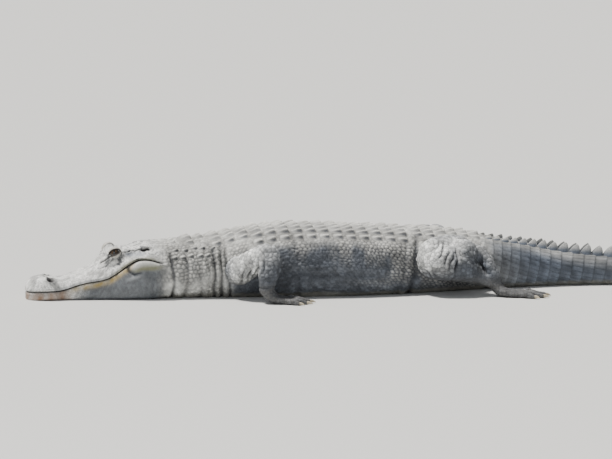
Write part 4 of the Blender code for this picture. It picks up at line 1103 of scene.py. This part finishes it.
# grooves of the skin: place, way along in side view, length and depth
FORE_CREASES = [((-0.234, -0.17, 0.076), (0.12, 0.99), 0.024, 0.0065),
                ((-0.213, -0.17, 0.090), (0.16, 0.98), 0.024, 0.0070),
                ((-0.194, -0.17, 0.102), (0.20, 0.98), 0.022, 0.0060),
                ((-0.178, -0.17, 0.112), (0.25, 0.97), 0.018, 0.0050),
                ((-0.182, -0.20, 0.156), (-0.40, 0.92), 0.014, 0.0030),
                ((-0.168, -0.20, 0.160), (-0.30, 0.95), 0.014, 0.0026),
                ((-0.165, -0.22, 0.052), (1.00, 0.10), 0.030, 0.0026)]
HIND_CREASES = [((0.376, -0.16, 0.160), (0.72, 0.69), 0.018, 0.0030),
                ((0.386, -0.16, 0.144), (0.60, 0.80), 0.026, 0.0042),
                ((0.397, -0.16, 0.124), (0.50, 0.86), 0.030, 0.0048),
                ((0.410, -0.16, 0.112), (0.36, 0.93), 0.034, 0.0050),
                ((0.427, -0.16, 0.110), (0.12, 0.99), 0.040, 0.0080),
                ((0.350, -0.16, 0.070), (0.75, -0.66), 0.020, 0.0040),
                ((0.362, -0.16, 0.074), (0.75, -0.66), 0.018, 0.0034),
                ((0.514, -0.19, 0.098), (0.20, -0.98), 0.026, 0.0050),
                ((0.518, -0.19, 0.094), (0.20, -0.98), 0.024, 0.0050)]
# pale patches, dry dust made brighter with painted sunlight: place, reach and strength
FORE_PALE = [((-0.205, -0.205, 0.128), (0.060, 0.060, 0.050), 1.0),
             ((-0.235, -0.175, 0.090), (0.035, 0.060, 0.036), 0.85)]
HIND_PALE = [((0.362, -0.190, 0.130), (0.056, 0.070, 0.052), 1.0),
             ((0.430, -0.180, 0.160), (0.050, 0.060, 0.020), 0.8),
             ((0.438, -0.230, 0.140), (0.012, 0.060, 0.030), 0.5)]
DUST_AND_LIT_TONE, LOW_BROWN_AND_SHADE = np.array((0.80, 0.805, 0.785)), (0.16, 0.15, 0.13)
CLAWED_TOES, CLAW_LENGTH, LIMB_VOXEL, LEG_SCALE, FOOT_SCALE = 3, 0.0185, 0.0023, 0.0135, 0.0085
LIMBS = (("fore", ((UPPER_ARM, (1, 0, 0)), (FOREARM, (1, 0, 0))), FOREARM[-1][0], FORE_FOOT, 201,
          FORE_CREASES, FORE_PALE),
         ("hind", ((THIGH, (0, 1, 0)), (SHANK, (0, 1, 0)), (CALF, (1, 0, 0)), (HEEL_CORD, (1, 0, 0)),
                   (HOLLOW, (1, 0, 0))), SHANK[-1][0], HIND_FOOT, 307, HIND_CREASES, HIND_PALE))


def hash3(cell, seed):
    """A repeatable random number in 0..1 for each row of three whole numbers."""
    h = np.sin(cell @ (127.1, 311.7, 74.7) + seed * 19.3) * 43758.5453
    return h - np.floor(h)


def pebbles(spots, size, seed):
    """Round scales in space: distance to the border and the middle, and a draw for each scale."""
    grid = spots / size
    near = np.full(len(spots), 9.0)
    second, draw = near.copy(), np.zeros(len(spots))
    for step in np.ndindex(3, 3, 3):
        cell = np.floor(grid) + np.array(step) - 1
        jog = np.stack([hash3(cell, seed + k) for k in (1, 2, 3)], axis=1) - 0.5
        d = np.linalg.norm(grid - cell - 0.5 - 0.7 * jog, axis=1)
        closer = d < near
        second = np.where(closer, near, np.minimum(second, d))
        draw = np.where(closer, hash3(cell, seed + 9), draw)
        near = np.where(closer, d, near)
    return second - near, near, draw


def tube(points, sizes, level, sides=24):
    """A closed tube through places with half widths and half heights, rounded at both ends."""
    keys, steps = np.concatenate([points, sizes], axis=1), np.arange(len(points))
    fine = np.linspace(0, len(points) - 1, (len(points) - 1) * 7 + 1)
    line = np.stack([track(list(zip(steps, column)))(fine) for column in keys.T], axis=1)
    line, radii = line[:, :3], line[:, 3:]
    way = np.gradient(line, axis=0)
    way /= np.linalg.norm(way, axis=1, keepdims=True)
    side = level - way * (way @ level)[:, None]
    side /= np.linalg.norm(side, axis=1, keepdims=True)
    up = np.cross(side, way)
    around = np.linspace(0, 2 * np.pi, sides, endpoint=False)

    def ring(row, forward=0.0, shrink=1.0):
        """The points round the tube at one of its places, or a smaller ring beyond it."""
        wide, tall = radii[row] * shrink
        return (line[row] + way[row] * forward + side[row] * (np.cos(around) * wide)[:, None]
                + up[row] * (np.sin(around) * tall)[:, None])

    caps = np.linspace(0.15, 0.98, 6)
    front = [ring(0, -radii[0].min() * c * 0.9, math.sqrt(1 - c * c)) for c in caps[::-1]]
    back = [ring(-1, radii[-1].min() * c * 0.9, math.sqrt(1 - c * c)) for c in caps]
    net = np.array(front + [ring(row) for row in range(len(line))] + back)
    index = np.arange(net.shape[0] * sides).reshape(-1, sides)
    return net.reshape(-1, 3), joined_rows(index) + [index[0].tolist(), index[-1].tolist()]


def foot_parts(form, ankle, side):
    """The tubes of a foot, and where each clawed toe ends: place, direction and thickness."""
    turn, r = math.radians(form["turn"]), form["thick"]
    long, broad, thick = form["palm"]

    def way(angle):
        """The level direction at an angle from the way that the foot points."""
        return np.array((math.cos(turn + angle), -math.sin(turn + angle) * side, 0.0))

    out, outward = way(0), way(math.pi / 2)
    heel = np.array((ankle[0], ankle[1], 0.0)) + out * 0.012
    places = [np.array(ankle), heel + out * 0.004 + (0, 0, 0.022)]
    places += [heel + out * long * share + (0, 0, up) for share, _, _, up in PALM]
    sizes = [(0.019, 0.021), (0.024, 0.018)] + [(broad * w, thick * h) for _, w, h, _ in PALM]
    tubes, claws, middles = [(places, sizes, np.array((0.0, 1.0, 0.0)))], [], []
    for k, (angle, length) in enumerate(form["toes"]):
        angle = math.radians(angle)
        spread = broad * 0.74 * math.sin(angle) / math.sin(math.radians(36))
        root = heel + out * long * 0.80 + outward * spread
        places = [root + way(angle) * length * t + (0, 0, r * w * h) for t, w, h in TOE]
        tubes.append((places, [(r * w, r * w) for _, w, _ in TOE], np.cross(way(angle), (0, 0, 1.0))))
        middles.append(root + way(angle) * length * 0.62)
        if k < CLAWED_TOES:
            claws.append((root + way(angle) * (length * 0.97) + (0, 0, r * 0.62), turn + angle, r * 0.62))
    if form["webbed"]:
        for near, far in zip(middles, middles[1:]):
            for t in np.linspace(0.2, 0.8, 4):
                end = near * (1 - t) + far * t
                end = heel + (end - heel) * (1 - 0.14 * math.sin(t * math.pi))
                tubes.append(([heel + out * long * 0.6 + (0, 0, 0.006), end + (0, 0, 0.0052)],
                              [(0.007, 0.0042), (0.0062, 0.0026)], np.cross(end - heel, (0, 0, 1.0))))
    return tubes, claws


def fused(name, tubes):
    """One closed mesh over the tubes of a limb, melted together and eased."""
    verts, faces = [], []
    for points, sizes, level in tubes:
        v, f = tube(points, sizes, level)
        faces += [[i + len(verts) for i in face] for face in f]
        verts += v.tolist()
    core = mesh_piece(name, verts, faces)
    melt = core.modifiers.new("melt", "REMESH")
    melt.mode, melt.voxel_size, melt.adaptivity = "VOXEL", LIMB_VOXEL, 0.0
    ease = core.modifiers.new("ease", "SMOOTH")
    ease.factor, ease.iterations = 0.6, 5
    plain_mesh(core)
    return core


def patches(spots, lit_dust_patches, power):
    """Each pale patch's share at every point, and its strength."""
    return [(np.exp(-(((spots - place) / reach) ** power).sum(axis=1)), strength)
            for place, reach, strength in lit_dust_patches]


def grooves_of(spots, creases):
    """The grooves of a limb: how far they lift or sink the skin, and how dark the painted shade in them is.
    """
    lift, crack = np.zeros(len(spots)), np.zeros(len(spots))
    for (x, y, z), (dx, dz), spread, depth in creases:
        along = (spots[:, 0] - x) * dx + (spots[:, 2] - z) * dz
        across = (spots[:, 2] - z) * dx - (spots[:, 0] - x) * dz
        wave = across + 0.0022 * np.sin(along * 130 + x * 90)
        here = bell(along, spread) * (np.abs(spots[:, 1]) > abs(y))
        lift += depth * here * (0.4 * bell(np.abs(wave) - 0.0075, 0.0040) - bell(wave, 0.0030))
        crack = np.maximum(crack, bell(wave, 0.0026) * here * min(depth / 0.004, 1.0))
    return lift, crack


def limb_skin(name, tubes, seed, creases, lit_dust_patches):
    """One scaled skin over the fused tubes of a limb."""
    core = fused(name, tubes)
    mesh = core.data
    spots, out = np.empty(len(mesh.vertices) * 3), np.empty(len(mesh.vertices) * 3)
    mesh.vertices.foreach_get("co", spots)
    mesh.vertices.foreach_get("normal", out)
    spots, out = spots.reshape(-1, 3), out.reshape(-1, 3)
    low = smooth(0.075, 0.030, spots[:, 2])
    b, m, r = pebbles(spots * (1.0, 1.0, 1.15), LEG_SCALE, seed)
    b2, m2, r2 = pebbles(spots, FOOT_SCALE, seed + 40)
    calm = 1 - 0.6 * np.max([share for share, _ in patches(spots, lit_dust_patches, 2)], axis=0)
    lift = dome(b, m, 0.25) * 0.0030 * (0.4 + r) * calm * (1 - low) + dome(b2, m2, 0.25) * 0.0016 * low
    fold, crack = grooves_of(spots, creases)
    lift += fold + 0.0016 * noise(spots[:, 0] * 45 + spots[:, 2] * 20, spots[:, 2] * 45, seed)
    skin = spots + out * (lift * smooth(0.0, 0.012, spots[:, 2]))[:, None]
    skin[:, 2] = np.maximum(skin[:, 2], 0.0)
    mesh.vertices.foreach_set("co", skin.ravel())

    # painted light: faces turned up are paler, and the pale patches of dust are brightened as if sunlit
    light = 0.42 * smooth(-0.1, 0.9, out[:, 2]) * smooth(0.04, 0.10, spots[:, 2])
    for share, strength in patches(spots, lit_dust_patches, 4):
        light = np.maximum(light, strength * share)
    groove = np.exp(-b / 0.10) * (1 - low) + np.exp(-b2 / 0.12) * low
    tone = r * (1 - low) + r2 * low
    tint = tinted(FLANK, DUST_AND_LIT_TONE, np.clip(light, 0, 1)) * (0.60 + 0.80 * tone)[:, None]
    # painted shade near the floor, over the feet's own grey-brown
    tint = tinted(tint, LOW_BROWN_AND_SHADE, low * 0.5)
    # painted shade in the grooves between the scales and in the creases
    tint = tinted(tint, DARK * 1.2, np.clip(groove * 0.78, 0, 1))
    tint = tinted(tint, DARK, crack * 0.85)
    mottle = 1 + 0.22 * noise(spots[:, 0] * 30, spots[:, 2] * 30 + spots[:, 1] * 30, seed + 3)
    paint_vertices(core, np.clip(tint * mottle[:, None], 0.01, 1))
    mesh.update()
    mesh.shade_smooth()
    return core


leg_hide = hide_material("leg_hide", 420.0, 0.0009, 0.62)
claw_points, claw_turns, claw_sizes = [], [], []
for side, label in ((1, "left"), (-1, "right")):
    flip = (1, side, 1)
    for limb, chains, ankle, form, seed, creases, lit_dust_patches in LIMBS:
        tubes = [([np.multiply(place, flip) for place, _, _ in joints], [size for _, *size in joints], level)
                 for joints, level in chains]
        foot_tubes, claws = foot_parts(form, np.multiply(ankle, flip), side)
        own_lit_dust_patches = [(np.multiply(place, flip), reach, strength) for place, reach, strength in lit_dust_patches]
        piece = limb_skin(limb + "limb_" + label, tubes + foot_tubes, seed, creases, own_lit_dust_patches)
        piece.data.materials.append(leg_hide)
        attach(piece, "root")
        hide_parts(limb + "leg_" + label, limb + "foot_" + label)
        for place, angle, thick in claws:
            claw_points.append(place)
            claw_turns.append((0.0, 0.0, -angle * side))
            claw_sizes.append((CLAW_LENGTH, thick * 2.0, thick * 2.0))

# The claws: curved cones of worn horn on the three inner toes of each foot, tips on the floor.
# Each is rooted in the tip of its toe.


def claw_shape(levels=12, sides=12):
    """A claw one unit long and thick at its root, curved down to a blunt point."""
    around, rings = np.linspace(0, 2 * np.pi, sides, endpoint=False), []
    for t in np.linspace(0, 1, levels):
        r, bow = 0.46 * (1 - t ** 1.5) ** 0.8 + 0.02, 0.14 * math.sin(t * 2.2) - 0.42 * t ** 2.0
        y, z = np.cos(around) * r * 0.82, bow + np.sin(around) * r
        rings.append(np.stack([np.full(sides, t), y, z], axis=1))
    return ringed_form("claw_form", rings)


horn = hide_material("claw_horn", 600.0, 0.0003, 0.42)
claws_piece = planted("claws", claw_shape(), claw_points, claw_turns, claw_sizes, horn)
tips, roots = np.array([v.co[:] for v in claws_piece.data.vertices]), np.array(claw_points)
reach = np.linalg.norm(tips[:, None] - roots[None], axis=2).min(axis=1) / CLAW_LENGTH
tips[:, 2] = np.maximum(tips[:, 2], 0.0)
claws_piece.data.vertices.foreach_set("co", tips.ravel())
paint_vertices(claws_piece, np.array((0.52, 0.46, 0.34)) * (1 - 0.45 * smooth(0.9, 0.0, reach))[:, None])
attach(claws_piece, "root")
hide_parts(*[f"{limb}claw_{side}_{k}" for limb in ("fore", "hind") for side in ("left", "right")
                           for k in (1, 2, 3)])
